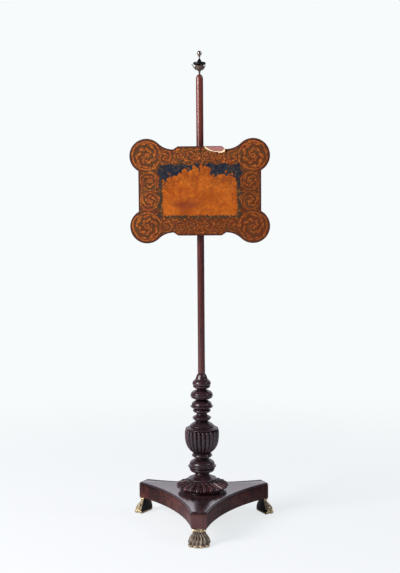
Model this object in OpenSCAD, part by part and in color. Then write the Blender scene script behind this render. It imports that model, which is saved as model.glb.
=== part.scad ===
// Fire screen: a veneered panel that slides on a turned pole, over a carved column,
// a three-sided platform and three paw feet.
// Millimetres. The origin is on the floor under the pole's axis, the front faces -Y and +Z is up.

/* [Whole stand] */
// Height from the floor to the top of the finial
total_height = 1430; // [1380:5:1480]
// Height of the panel's centre above the floor, where it is clamped
panel_height = 1017; // [850:1:1150]

/* [Platform] */
// Distance from the pole's axis to the face of each cut corner
corner_reach = 222; // [210:1:235]
// Width of the face of each cut corner
corner_width = 45; // [38:1:52]
// Depth of the hollow in each side, measured from a straight side
side_hollow = 32; // [24:1:38]
// Height of the platform's core, which the veneers cover
core_height = 41; // [34:1:50]
// Thickness of the moulded top board
top_board = 8; // [6:0.5:10]
// How far each step of the top board's edge stands in from the one below
edge_step = 1.6; // [1:0.1:2.2]
// Thickness of the veneer on the platform's sides
platform_veneer = 1.5; // [1:0.1:2.5]

/* [Feet] */
// Height of the feet
foot_height = 51; // [46:1:58]
// How far the toes stand out beyond the platform's corner
toe_reach = 23; // [20:1:27]
// Width across the toes
paw_width = 62; // [56:1:68]
// Width of the ankle under the platform
ankle_width = 40; // [36:1:42]
// Depth of the whole foot on the floor
paw_depth = 35; // [32:1:40]
// Thickness of the brass in front of the wooden block
ankle_brass = 3; // [2:0.5:4]
// Gap between the wooden block and the floor
block_lift = 6; // [4:1:10]
// Diameter of the screw that holds each foot
foot_screw = 3; // [2.5:0.5:3.5]

/* [Collar] */
// Height of the carved collar on the platform
collar_height = 34; // [30:1:40]
// Radius over the tips of the collar's reeds
collar_radius = 80; // [74:1:86]
// Thickness of the collar's carved rim
rim_thickness = 15; // [12:1:18]
// Number of reeds round the collar
collar_reeds = 40; // [32:2:46]
// Depth of the grooves between the reeds
reed_depth = 1.6; // [1:0.1:2.2]

/* [Column] */
// Height of the lower stem, from the collar to the urn
lower_stem_height = 85; // [80:1:92]
// Radius of the lower stem's knop
lower_knop = 42.5; // [39:0.5:46]
// Radius of the disc at the foot of the lower stem
stem_foot = 44; // [40:1:48]
// Height of the urn
urn_height = 99; // [94:1:108]
// Radius of the urn
urn_radius = 52; // [48:0.5:56]
// Number of lobes round the urn
urn_lobes = 24; // [18:1:26]
// Depth of the grooves between the lobes
lobe_depth = 2.2; // [1.2:0.1:2.6]
// Height of the middle stem, with its sharp rings
middle_stem_height = 66; // [62:1:72]
// Radius of the middle stem's largest ring
middle_ring = 35.5; // [33:0.5:38]
// Height of the upper stem, which holds the pole
upper_stem_height = 80; // [77:1:88]
// Radius of the upper stem's larger knop
upper_knop = 34.7; // [32:0.5:37]
// Radius of the necks between the knops
neck_radius = 17; // [16:0.5:19]
// Diameter of the tenon that joins the column to the platform
main_tenon = 30; // [26:1:32]
// Diameter of the tenons between the pieces of the column
stem_tenon = 20; // [16:1:22]
// Length of the tenons between the pieces of the column
tenon_length = 22; // [16:1:26]

/* [Pole] */
// Radius of the pole where the panel slides
pole_radius = 10.8; // [10:0.1:12]
// How much the pole swells towards its foot
pole_swell = 0.7; // [0.2:0.1:1]
// Diameter of the spigot at the pole's foot
spigot = 15; // [12:0.5:16]
// Length of the spigot
spigot_length = 52; // [40:1:56]

/* [Finial] */
// Height of the finial above the pole
finial_height = 69; // [66:1:74]
// Radius of the leaf cup's bowl
cup_radius = 17.5; // [16:0.5:19]
// Number of leaves round the cup
cup_leaves = 6; // [5:1:8]
// Radius of the black drip plate
plate_radius = 18.2; // [17:0.2:20]
// Radius of the ball on top
ball_radius = 7.2; // [6.5:0.1:8]
// Diameter of the rod that holds the finial together
rod = 4; // [3:0.5:4.5]
// Thickness of the sheet brass
sheet_brass = 1.2; // [1:0.1:1.6]

/* [Panel] */
// Width of the panel between its straight sides
panel_width = 364; // [350:1:380]
// Height of the panel between the hollows beside its tablets
panel_waist = 246; // [236:1:256]
// Radius of the round lobe at each corner
lobe_radius = 50.5; // [47:0.5:54]
// Distance between the centres of a left and a right lobe
lobe_spread = 315; // [305:1:325]
// Distance between the centres of an upper and a lower lobe
lobe_rise = 208.6; // [200:0.2:216]
// Width of the tablet at its outer edge
tablet_width = 129; // [115:1:140]
// How far the tablet stands out from the hollows beside it
tablet_rise = 9; // [7:0.5:11]
// Width over the slanted ends of the tablet
tablet_foot = 156; // [148:1:164]
// Thickness of the panel's core board
panel_core_thickness = 7; // [5:0.5:9]
// Thickness of the veneer on the panel's front and back
panel_veneer = 1; // [0.6:0.1:1.6]
// Thickness of the strip round the panel's edge
lipping = 1.6; // [1:0.1:2.4]
// Width of the corner that is broken out of the front veneer
chip_width = 48; // [36:1:60]
// Height of the corner that is broken out of the front veneer
chip_height = 14; // [8:0.5:20]

/* [Slide and clamp] */
// Gap between the panel's back and the pole
back_gap = 15; // [14:0.5:18]
// Width of the brass strap on the panel's back
strap_width = 22; // [18:1:28]
// Length of the strap
strap_length = 190; // [170:1:210]
// Thickness of the strap
strap_thickness = 2.5; // [2:0.1:3.5]
// Distance from each end of the strap to the middle of its loop
loop_inset = 30; // [26:1:38]
// Height of each loop
loop_height = 14; // [12:0.5:18]
// Thickness of each loop's wall
loop_wall = 3.5; // [3:0.1:5]
// Running clearance between the pole and the loops
slide_clearance = 0.25; // [0.15:0.05:0.4]
// Diameter of the thumbscrew's shank
thumbscrew_shank = 5; // [4:0.5:6]
// Diameter of the brass pad that presses the pole
pad_diameter = 7; // [6.5:0.5:8]
// Travel of the pad as the thumbscrew is opened
pad_stroke = 1.2; // [0.8:0.1:1.4]
// Span of the thumbscrew's wings
wing_span = 22; // [18:1:28]

/* [Joints] */
// Gap round a glued tenon
glue_gap = 0.1; // [0.05:0.05:0.2]
// Gap round a screw or rivet in its hole
thread_gap = 0.05; // [0.02:0.01:0.1]
// Running clearance round a turning part
running_gap = 0.1; // [0.05:0.05:0.2]

/* [Hidden] */
$fn = 96;

// Turn of each corner or foot about the axis: the front one, then right and left
FRONT = 0;
RIGHT = 120;
LEFT = 240;

// Heights, from the floor up
core_bottom = foot_height;
core_top = core_bottom + core_height;
platform_top_level = core_top + top_board;
lower_stem_bottom = platform_top_level + collar_height;
urn_bottom = lower_stem_bottom + lower_stem_height;
middle_stem_bottom = urn_bottom + urn_height;
upper_stem_bottom = middle_stem_bottom + middle_stem_height;
upper_stem_top = upper_stem_bottom + upper_stem_height;
pole_top = total_height - finial_height;

// Each side of the platform is an arc through two corners
corner_half = corner_width / 2;
next_corner_x = corner_reach * cos(30) + corner_half * sin(30);
next_corner_y = corner_reach * sin(30) - corner_half * cos(30);
chord_half = norm([next_corner_x - corner_half, next_corner_y + corner_reach]) / 2;
chord_distance = norm([next_corner_x + corner_half, next_corner_y - corner_reach]) / 2;
side_arc = (chord_half * chord_half + side_hollow * side_hollow) / (2 * side_hollow);
side_arc_centre = chord_distance - side_hollow + side_arc;
corner_overlap = 4;

// Depths through the panel, from the pole's axis forwards
panel_back = -(pole_radius + back_gap);
core_board_back = panel_back - panel_veneer;
core_board_front = core_board_back - panel_core_thickness;
panel_front = core_board_front - panel_veneer;
strap_back = panel_back + strap_thickness;
loop_bore = pole_radius + slide_clearance;
loop_outer = loop_bore + loop_wall;

// The hollow between a lobe and a tablet is an arc that touches the lobe
hollow_x = tablet_foot / 2;
hollow_run = lobe_spread / 2 - hollow_x;
hollow_drop = panel_waist / 2 - lobe_rise / 2;
hollow_arc = (hollow_run * hollow_run + hollow_drop * hollow_drop - lobe_radius * lobe_radius)
    / (2 * (lobe_radius - hollow_drop));
hollow_centre = panel_waist / 2 + hollow_arc;
touch_share = lobe_radius / (lobe_radius + hollow_arc);
touch_x = lobe_spread / 2 - hollow_run * touch_share;
touch_z = lobe_rise / 2 + (hollow_centre - lobe_rise / 2) * touch_share;

// A turned disc with a round edge, as half of its section
module bead(reach, level, thick) {
    translate([0, level - thick / 2]) square([reach - thick / 2, thick]);
    translate([reach - thick / 2, level]) circle(d = thick);
}

// A turned disc that comes to an edge, drawn in to its root above and below
module edge_ring(root, reach, level, spread) {
    polygon([[0, level - spread], [root, level - spread], [reach, level], [root, level + spread],
        [0, level + spread]]);
}

// A plain turned length, as half of its section
module shaft(radius, from, to) {
    translate([0, from]) square([radius, to - from]);
}

// A plain round bar or hole about the axis
module rod_up(radius, from, to) {
    translate([0, 0, from]) cylinder(r = radius, h = to - from);
}

// A round bar that points backwards along +Y
module rod_back(radius, from, to) {
    translate([0, from, 0]) rotate([-90, 0, 0]) cylinder(r = radius, h = to - from);
}

// Outline of the platform, with its hollow sides and cut corners moved in by the given amounts
module triform(side_inset, corner_inset) {
    face = corner_reach - corner_inset;
    half = corner_half + corner_overlap;
    difference() {
        polygon([for (turn = [0:120:240], side = [-1, 1])
            [side * half * cos(turn) + face * sin(turn), side * half * sin(turn) - face * cos(turn)]]);
        for (turn = [0:120:240]) rotate(turn) translate([0, side_arc_centre])
            circle(r = side_arc + side_inset, $fn = 180);
    }
}

// A wedge of the plan that holds one side of the platform
module side_sector(turn) {
    far = corner_reach * 2;
    rotate(turn) polygon([[0, 0], [far * cos(30), far * sin(30)], [far * cos(150), far * sin(150)]]);
}

module platform_core() {
    color("#4a2620") difference() {
        translate([0, 0, core_bottom]) linear_extrude(core_height)
            triform(platform_veneer, platform_veneer);
        rod_up(main_tenon / 2 + glue_gap, core_bottom - 1, core_top + 1);
        for (turn = [FRONT, RIGHT, LEFT]) rotate(turn)
            translate([0, -screw_place, 0])
                rod_up(foot_screw / 2 + thread_gap, core_bottom - 1, core_bottom + screw_bite + thread_gap);
    }
}

// The top board steps in twice towards its upper face
module platform_top() {
    lower_step = top_board * 0.45;
    middle_step = top_board * 0.75;
    color("#6d4a4a") difference() {
        translate([0, 0, core_top]) {
            linear_extrude(lower_step) triform(-edge_step / 2, -edge_step / 2);
            linear_extrude(middle_step) triform(edge_step, edge_step);
            linear_extrude(top_board) triform(edge_step * 2, edge_step * 2);
        }
        rod_up(main_tenon / 2 + glue_gap, core_top - 1, platform_top_level + 1);
    }
}

// Turn 0 is the back, 120 the front left and 240 the front right
module side_veneer(turn) {
    color("#6b3028") translate([0, 0, core_bottom]) linear_extrude(core_height) intersection() {
        side_sector(turn);
        difference() {
            triform(0, platform_veneer);
            triform(platform_veneer, -1);
        }
    }
}

module side_veneer_back() side_veneer(0);
module side_veneer_left() side_veneer(120);
module side_veneer_right() side_veneer(240);

module corner_veneer(turn) {
    color("#6b3028") translate([0, 0, core_bottom]) linear_extrude(core_height) intersection() {
        triform(0, 0);
        rotate(turn) translate([-corner_width, -corner_reach - 1])
            square([corner_width * 2, platform_veneer + 1]);
    }
}

module corner_veneer_front() corner_veneer(FRONT);
module corner_veneer_right() corner_veneer(RIGHT);
module corner_veneer_left() corner_veneer(LEFT);

// Places in one foot, which is drawn as the front one
toes = 4;
toe_radius = paw_width / toes * 0.56;
toe_front = -(corner_reach + toe_reach);
paw_back = toe_front + paw_depth;
ankle_front = -(corner_reach - 1);
block_front = ankle_front + ankle_brass;
block_top_width = ankle_width - ankle_brass * 2;
block_foot_width = paw_width - ankle_brass * 4;
band_radius = foot_height * 0.12;
band_level = foot_height - band_radius;
screw_place = -(block_front + paw_back) / 2;
screw_bite = core_height * 0.58;

// Front view of the block, wider at the floor, with a clearance round it
module block_outline(clearance) {
    top = block_top_width / 2 + clearance;
    low = block_foot_width / 2 + clearance;
    polygon([[-low, block_lift - clearance], [low, block_lift - clearance],
        [top, foot_height], [-top, foot_height]]);
}

// The block as a solid between two depths
module block_solid(clearance, front, back) {
    translate([0, back, 0]) rotate([90, 0, 0]) linear_extrude(back - front) block_outline(clearance);
}

// One toe: a claw end, a knuckle and a tendon up to the ankle
module toe(share) {
    across = share * (paw_width / 2 - toe_radius);
    set_back = abs(share) * toe_radius * 0.7;
    tip = [across, toe_front + toe_radius + set_back, toe_radius * 0.85];
    knuckle = [across * 0.95, tip[1] + toe_radius, toe_radius * 1.7];
    hull() {
        translate(tip) sphere(r = toe_radius, $fn = 20);
        translate(knuckle) sphere(r = toe_radius, $fn = 20);
    }
    hull() {
        translate(knuckle) sphere(r = toe_radius, $fn = 20);
        translate([share * (ankle_width / 2 - 6), ankle_front + 6, foot_height * 0.7])
            sphere(r = 6, $fn = 20);
    }
}

// A cast brass paw with a rolled collar, open behind where the wooden block fits
module paw(turn) {
    color("#b89a5a") rotate(turn) difference() {
        union() {
            for (toe = [0:toes - 1]) toe(toe * 2 / (toes - 1) - 1);
            hull() {
                translate([-paw_width / 2 + 3, toe_front + toe_radius * 1.4, 0])
                    cube([paw_width - 6, paw_depth - toe_radius * 1.4, 6]);
                translate([-ankle_width / 2 + 1, ankle_front + 1, foot_height * 0.6])
                    cube([ankle_width - 2, paw_back - ankle_front - 1, foot_height * 0.4]);
            }
            hull() for (side = [-1, 1])
                translate([side * (ankle_width / 2 - band_radius), ankle_front + band_radius * 0.5,
                    band_level]) sphere(r = band_radius, $fn = 20);
        }
        block_solid(glue_gap, block_front - glue_gap, 0);
        translate([-paw_width, paw_back, -1]) cube([paw_width * 2, paw_width, foot_height + 2]);
        translate([-paw_width, toe_front - paw_width, -toe_radius])
            cube([paw_width * 2, paw_width * 2, toe_radius]);
    }
}

module paw_front() paw(FRONT);
module paw_right() paw(RIGHT);
module paw_left() paw(LEFT);

// An ebonised block that fills the paw from behind and lies under the platform
module foot_block(turn) {
    color("#1d1917") rotate(turn) difference() {
        block_solid(0, block_front, paw_back);
        translate([0, -screw_place, 0]) {
            rod_up(foot_screw / 2 + thread_gap, 0, foot_height + 1);
            rod_up(foot_screw + thread_gap, 0, screw_recess);
        }
    }
}

screw_recess = foot_height * 0.3;

module foot_block_front() foot_block(FRONT);
module foot_block_right() foot_block(RIGHT);
module foot_block_left() foot_block(LEFT);

// A wood screw in each foot, up through the block into the platform's core
module foot_screws() {
    head = foot_screw * 0.6;
    color("#6f675c") for (turn = [FRONT, RIGHT, LEFT]) rotate(turn) translate([0, -screw_place, 0]) {
        rod_up(foot_screw, screw_recess - head, screw_recess);
        rod_up(foot_screw / 2, screw_recess - head, core_bottom + screw_bite);
    }
}

// Half of the collar's section: a foot disc, a round rim and a slope up to the stem
module collar_section() {
    rim_level = collar_height * 0.53;
    shaft(collar_radius * 0.9, 0, rim_level);
    bead(collar_radius, rim_level, rim_thickness);
    polygon([[0, rim_level], [collar_radius - rim_thickness / 2, rim_level + rim_thickness / 2],
        [stem_foot, collar_height], [0, collar_height]]);
}

// The carved collar, with a groove between each two reeds
module collar() {
    rim_level = collar_height * 0.53;
    slope_out = collar_radius - rim_thickness / 2 - stem_foot;
    slope_down = collar_height - rim_level - rim_thickness / 2;
    slope = atan(slope_down / slope_out);
    groove = reed_depth * 1.8;
    color("#3a2220") translate([0, 0, platform_top_level]) difference() {
        rotate_extrude() collar_section();
        rod_up(main_tenon / 2 + glue_gap, -1, collar_height + 1);
        for (reed = [0:collar_reeds - 1]) rotate(reed * 360 / collar_reeds) {
            translate([stem_foot + 3, 0, collar_height + groove - reed_depth - 3 * tan(slope)])
                rotate([0, 90 + slope, 0]) cylinder(r = groove, h = slope_out * 1.4, $fn = 4);
            translate([collar_radius + groove - reed_depth, 0, -1])
                cylinder(r = groove, h = collar_height + 2, $fn = 4);
        }
    }
}

// The lower stem, with a tenon down through the collar and the platform
module lower_stem() {
    h = lower_stem_height;
    neck = neck_radius * 1.18;
    cove = (stem_foot - neck) * 0.86;
    color("#33201f") difference() {
        union() {
            translate([0, 0, lower_stem_bottom]) rotate_extrude() {
                shaft(stem_foot - 2, 0, h * 0.04);
                shaft(stem_foot, h * 0.035, h * 0.085);
                difference() {
                    shaft(stem_foot - 1, 0, h * 0.085 + cove);
                    translate([stem_foot - 1, h * 0.085 + cove]) circle(r = stem_foot - 1 - neck);
                }
                shaft(neck, 0, h * 0.4);
                bead(lower_knop * 0.94, h * 0.405, h * 0.175);
                shaft(lower_knop * 0.87, h * 0.405, h * 0.6);
                edge_ring(lower_knop * 0.9, lower_knop, h * 0.52, h * 0.045);
                bead(lower_knop * 0.945, h * 0.605, h * 0.3);
                shaft(neck * 0.92, h * 0.6, h);
                bead(lower_knop * 0.73, h * 0.91, h * 0.105);
                shaft(lower_knop * 0.61, h * 0.91, h);
            }
            rod_up(main_tenon / 2, core_bottom, lower_stem_bottom + 1);
        }
        rod_up(stem_tenon / 2 + glue_gap, urn_bottom - tenon_length - glue_gap, urn_bottom + 1);
        wedge_shape(glue_gap);
    }
}

wedge_length = 30;
wedge_mouth = 4;
wedge_tip = 2;

// The slot for the wedge, or the wedge itself, in the foot of the main tenon
module wedge_shape(clearance) {
    mouth = wedge_mouth / 2 + clearance;
    tip = wedge_tip / 2 + clearance;
    reach = wedge_length + clearance;
    below = clearance > 0 ? 1 : 0;
    intersection() {
        translate([0, 0, core_bottom]) rotate([90, 0, 0])
            linear_extrude(main_tenon * 2, center = true)
                polygon([[-mouth, -below], [mouth, -below], [mouth, 0], [tip, reach], [-tip, reach],
                    [-mouth, 0]]);
        rod_up(main_tenon / 2 + (clearance > 0 ? 1 : 0), core_bottom - 2, core_top + 1);
    }
}

module tenon_wedge() {
    color("#8a6a45") wedge_shape(0);
}

// The urn, with a groove between each two lobes
module urn() {
    h = urn_height;
    widest = h * 0.54;
    below = widest + 1;
    foot = urn_radius * 0.5;
    belly = ((urn_radius - foot) * (urn_radius - foot) + below * below) / (2 * (urn_radius - foot));
    groove = lobe_depth * 1.8;
    shoulder = h * 0.13;
    color("#38222a") translate([0, 0, urn_bottom]) difference() {
        union() {
            rotate_extrude() {
                intersection() {
                    translate([urn_radius - belly, widest]) circle(r = belly, $fn = 180);
                    shaft(urn_radius, 0, widest);
                }
                shaft(urn_radius, widest - 0.5, h * 0.7);
                bead(urn_radius, h * 0.7, shoulder * 2);
                bead(urn_radius * 0.66, h * 0.87, h * 0.16);
                polygon([[0, h * 0.87], [urn_radius * 0.6, h * 0.9], [neck_radius + 1, h * 0.985],
                    [neck_radius, h], [0, h]]);
            }
            rod_up(stem_tenon / 2, -tenon_length, 1);
        }
        rod_up(stem_tenon / 2 + glue_gap, h - tenon_length - glue_gap, h + 1);
        for (lobe = [0:urn_lobes - 1]) rotate(lobe * 360 / urn_lobes) {
            translate([urn_radius - belly, 0, widest]) rotate([90, 0, 0])
                rotate_extrude(start = -48, angle = 48)
                    translate([belly + groove - lobe_depth, 0]) circle(r = groove, $fn = 4);
            translate([urn_radius + groove - lobe_depth, 0, widest - 0.1])
                cylinder(r = groove, h = h * 0.7 - widest, $fn = 4);
        }
    }
}

// The middle stem, with two sharp rings
module middle_stem() {
    h = middle_stem_height;
    color("#33201f") translate([0, 0, middle_stem_bottom]) difference() {
        rotate_extrude() {
            shaft(neck_radius * 0.88, 0, h);
            shaft(neck_radius, 0, h * 0.03);
            shaft(neck_radius, h * 0.97, h);
            edge_ring(neck_radius * 0.88, middle_ring * 0.82, h * 0.165, h * 0.14);
            bead(middle_ring * 0.78, h * 0.49, h * 0.18);
            shaft(middle_ring * 0.72, h * 0.49, h * 0.66);
            edge_ring(middle_ring * 0.76, middle_ring, h * 0.69, h * 0.09);
            bead(middle_ring * 0.83, h * 0.805, h * 0.27);
            bead(neck_radius * 1.15, h * 0.93, h * 0.1);
        }
        rod_up(stem_tenon / 2 + glue_gap, h - tenon_length - glue_gap, h + 1);
    }
    color("#33201f") rod_up(stem_tenon / 2, middle_stem_bottom - tenon_length, middle_stem_bottom + 1);
}

// The upper stem, with the socket that the pole stands in
module upper_stem() {
    h = upper_stem_height;
    top = pole_radius + pole_swell + 0.5;
    color("#33201f") difference() {
        union() {
            translate([0, 0, upper_stem_bottom]) rotate_extrude() {
                shaft(neck_radius, 0, h * 0.1);
                bead(upper_knop, h * 0.19, h * 0.33);
                shaft(neck_radius * 0.92, 0, h * 0.55);
                bead(upper_knop * 0.78, h * 0.51, h * 0.11);
                shaft(upper_knop * 0.73, h * 0.51, h * 0.6);
                bead(upper_knop * 0.81, h * 0.645, h * 0.19);
                polygon([[0, h * 0.7], [upper_knop * 0.58, h * 0.735], [neck_radius, h * 0.79],
                    [neck_radius * 0.95, h * 0.85], [top + 2, h * 0.93], [top, h], [0, h]]);
            }
            rod_up(stem_tenon / 2, upper_stem_bottom - tenon_length, upper_stem_bottom + 1);
        }
        rod_up(spigot / 2 + running_gap, upper_stem_top - spigot_length - 2, upper_stem_top + 1);
    }
}

// The pole, with a spigot at its foot and a domed top
module pole() {
    swell_top = upper_stem_top + upper_stem_height * 0.45;
    dome_radius = pole_radius - 0.3;
    dome_flat = pole_seat;
    dome_level = pole_top - sqrt(dome_radius * dome_radius - dome_flat * dome_flat);
    color("#7a3129") difference() {
        union() {
            rotate_extrude() {
                shaft(spigot / 2, upper_stem_top - spigot_length, upper_stem_top + 1);
                polygon([[0, upper_stem_top], [pole_radius + pole_swell, upper_stem_top],
                    [pole_radius, swell_top], [0, swell_top]]);
                shaft(pole_radius, swell_top - 1, dome_level - dome_radius);
                polygon([[0, dome_level - dome_radius - 1], [pole_radius, dome_level - dome_radius],
                    [dome_radius, dome_level], [0, dome_level]]);
            }
            intersection() {
                translate([0, 0, dome_level]) sphere(r = dome_radius);
                rod_up(dome_radius + 1, dome_level - 0.5, pole_top);
            }
        }
        rod_up(rod / 2 + thread_gap, pole_top - rod_bite - 1, pole_top + 1);
    }
}

// Places in the finial
pole_seat = 3.6;
rod_bite = 20;
stem_length = finial_height * 0.15;
leaf_flare = 1.6;
bent_flare = 4;
bowl_radius = cup_radius * 0.78;
bowl_centre = cup_radius - bowl_radius;
bowl_level = pole_top + stem_length + bowl_radius;
notch = bowl_radius * 0.32;
plate_thickness = 4.5;
plate_level = bowl_level + finial_height * 0.075;
cone_height = finial_height * 0.17;
cone_level = plate_level + plate_thickness;
ball_level = total_height - ball_radius;

// A threaded rod from the pole up into the finial's cone
module finial_rod() {
    color("#6f675c") rod_up(rod / 2, pole_top - rod_bite, cone_level + cone_height * 0.5);
}

// Half of the section of a strip of sheet brass that turns outwards from the bowl's rim
module turned_tip(flare, thickness, foot) {
    translate([cup_radius + flare, bowl_level]) intersection() {
        difference() {
            circle(r = flare + thickness);
            circle(r = flare);
        }
        translate([-flare * 3, -foot]) square([flare * 2.7, flare * 3 + foot]);
    }
}

// The leaf cup: a stem and a bowl, cut into leaves whose tips turn out, one of them bent further
module leaf_cup() {
    gap = 360 / cup_leaves;
    color("#a98a5c") difference() {
        union() {
            rotate_extrude() {
                polygon([[0, pole_top], [pole_seat, pole_top], [pole_seat, pole_top + 1.5],
                    [rod / 2 + 1, pole_top + 3], [rod / 2 + 1, pole_top + stem_length],
                    [bowl_centre + 1, bowl_level - bowl_radius], [bowl_centre + 1, plate_level],
                    [0, plate_level]]);
                intersection() {
                    difference() {
                        translate([bowl_centre, bowl_level]) circle(r = bowl_radius);
                        translate([bowl_centre, bowl_level]) circle(r = bowl_radius - sheet_brass);
                    }
                    translate([bowl_centre, pole_top]) square([bowl_radius * 2, bowl_level - pole_top]);
                }
                turned_tip(leaf_flare, sheet_brass, 0);
            }
            rotate(180) rotate_extrude(start = -gap * 0.36, angle = gap * 0.72)
                turned_tip(bent_flare, sheet_brass * 0.7, 1);
        }
        for (leaf = [0:cup_leaves - 1]) rotate(gap * (leaf + 0.5))
            translate([bowl_centre + bowl_radius * 0.6, 0, bowl_level + leaf_flare])
                rotate([0, 90, 0]) cylinder(r = notch, h = cup_radius, $fn = 32);
        rod_up(rod / 2 + thread_gap, pole_top - 1, plate_level + 1);
    }
}

// The black drip plate over the leaves
module drip_plate() {
    color("#17161a") translate([0, 0, plate_level]) difference() {
        rotate_extrude() {
            bead(plate_radius, plate_thickness / 2, plate_thickness);
        }
        rod_up(rod / 2 + thread_gap, -1, plate_thickness + 1);
    }
}

// The black cone on the plate, with a seat for the ball's stalk
module finial_cone() {
    color("#1e1c20") difference() {
        translate([0, 0, cone_level]) rotate_extrude()
            polygon([[0, 0], [7, 0], [6, cone_height * 0.2], [4.6, cone_height * 0.55],
                [2.4, cone_height], [0, cone_height]]);
        rod_up(rod / 2 + thread_gap, cone_level - 1, cone_level + cone_height * 0.5 + thread_gap);
    }
}

// The ball, on a short stalk with a small bead
module finial_ball() {
    color("#8d8273") rotate_extrude() intersection() {
        union() {
            translate([0, ball_level]) circle(r = ball_radius);
            shaft(1.8, cone_level + cone_height, ball_level);
            bead(3.4, ball_level - ball_radius * 1.15, 2.6);
        }
        shaft(ball_radius * 2, cone_level + cone_height, total_height + 1);
    }
}

// Outline of the panel, upright in the plane of X and Z and drawn about its centre
module panel_outline(inset) {
    for (side = [-1, 1]) scale([1, side]) {
        half_w = panel_width / 2 - inset;
        half_h = panel_waist / 2 - inset;
        translate([-half_w, -1]) square([half_w * 2, half_h + 1]);
        polygon([[-hollow_x + inset, half_h - 1], [hollow_x - inset, half_h - 1],
            [hollow_x - inset, half_h], [tablet_width / 2 - inset / 2, half_h + tablet_rise],
            [inset / 2 - tablet_width / 2, half_h + tablet_rise], [inset - hollow_x, half_h]]);
        for (end = [-1, 1]) scale([end, 1]) {
            translate([lobe_spread / 2, lobe_rise / 2]) circle(r = lobe_radius - inset, $fn = 120);
            difference() {
                polygon([[hollow_x, half_h - 8], [lobe_spread / 2, half_h - 8],
                    [lobe_spread / 2, lobe_rise / 2], [touch_x, touch_z], [hollow_x, hollow_centre]]);
                translate([hollow_x, hollow_centre]) circle(r = hollow_arc + inset, $fn = 180);
            }
        }
    }
}

// A board of the panel's outline between two depths
module board(inset, back, front) {
    translate([0, back, panel_height]) rotate([90, 0, 0])
        linear_extrude(back - front) panel_outline(inset);
}

module panel_core() {
    color("#9a6a5a") difference() {
        board(lipping, core_board_back, core_board_front);
        strap_screw_holes();
    }
}

// The broken corner of the front veneer, right of the middle of the upper tablet
module chip() {
    start = tablet_width / 2 - chip_width;
    edge = panel_waist / 2 + tablet_rise;
    translate([0, 0, panel_height + edge]) rotate([90, 0, 0])
        linear_extrude(-panel_front + 2)
            polygon([[start - 4, 2], [start, 0], [start + 3, -chip_height * 0.45],
                [start + chip_width * 0.3, -chip_height * 0.4],
                [start + chip_width * 0.42, -chip_height * 0.75],
                [start + chip_width * 0.78, -chip_height * 0.8],
                [start + chip_width * 0.9, -chip_height], [start + chip_width + 8, -chip_height * 0.7],
                [start + chip_width + 14, 2]]);
}

module front_veneer() {
    color("#b0642c") difference() {
        board(0, core_board_front, panel_front);
        chip();
    }
}

module back_veneer() {
    color("#6a3a28") difference() {
        board(0, panel_back, core_board_back);
        strap_screw_holes();
    }
}

module edge_lipping() {
    color("#3c2020") difference() {
        board(0, core_board_back, core_board_front);
        board(lipping, core_board_back + 1, core_board_front - 1);
    }
}

// Places on the strap
strap_screw = 3;
screw_offset = 20;
loop_rise = strap_length / 2 - loop_inset;
loop_levels = [panel_height + loop_rise, panel_height - loop_rise];
strap_screw_bite = 5;

// Places of the four screws that hold the strap, above and below each loop
module at_strap_screws() {
    for (level = loop_levels, side = [-1, 1])
        translate([0, 0, level + side * screw_offset]) children();
}

// Round holes through the strap and into the board behind it
module strap_screw_holes() {
    at_strap_screws()
        rod_back(strap_screw / 2 + thread_gap, panel_back - strap_screw_bite - thread_gap, strap_back + 1);
}

// The brass strap, with a rivet hole for each loop
module back_strap() {
    color("#a88c50") difference() {
        translate([-strap_width / 2, panel_back, panel_height - strap_length / 2])
            cube([strap_width, strap_thickness, strap_length]);
        strap_screw_holes();
        for (level = loop_levels) translate([0, 0, level])
            rod_back(rivet / 2 + thread_gap, panel_back - 1, strap_back + 1);
    }
}

module strap_screws() {
    color("#7a6a45") at_strap_screws() {
        rod_back(strap_screw / 2, panel_back - strap_screw_bite, strap_back + 0.5);
        rod_back(strap_screw * 0.9, strap_back, strap_back + strap_screw * 0.5);
    }
}

rivet = 5;
boss_radius = pad_diameter / 2 + 3;
boss_end = loop_bore + pad_stroke + 12;
pad_room = loop_bore + pad_stroke + 6.5;

// A brass loop round the pole, riveted to the strap
module pole_loop(level) {
    translate([0, 0, level]) {
        rod_up(loop_outer, -loop_height / 2, loop_height / 2);
        translate([-loop_outer * 0.45, strap_back, -loop_height / 2])
            cube([loop_outer * 0.9, -strap_back - loop_bore * 0.8, loop_height]);
        rod_back(rivet / 2, panel_back, strap_back + 1);
    }
}

// The upper loop carries the boss for the clamp
module upper_loop() {
    level = loop_levels[0];
    color("#a88c50") difference() {
        union() {
            pole_loop(level);
            translate([0, 0, level]) rod_back(boss_radius, loop_bore * 0.9, boss_end);
        }
        rod_up(loop_bore, level - loop_height, level + loop_height);
        translate([0, 0, level]) {
            rod_back(pad_diameter / 2 + running_gap, 0, pad_room);
            rod_back(thumbscrew_shank / 2 + running_gap, 0, boss_end + 1);
        }
    }
}

module lower_loop() {
    level = loop_levels[1];
    color("#a88c50") difference() {
        pole_loop(level);
        rod_up(loop_bore, level - loop_height, level + loop_height);
    }
}

pad_back = loop_bore + 4.5;
pin_radius = 1.2;
pin_length = 2;

// The pad, hollowed to the pole in front and bored behind for the thumbscrew's pin
module clamp_pad() {
    color("#a88c50") translate([0, 0, loop_levels[0]]) difference() {
        rod_back(pad_diameter / 2, pole_radius * 0.8, pad_back);
        rod_up(pole_radius + 0.02, -loop_height, loop_height);
        rod_back(pin_radius + running_gap, pad_back - pin_length - 0.2, pad_back + 1);
    }
}

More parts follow.
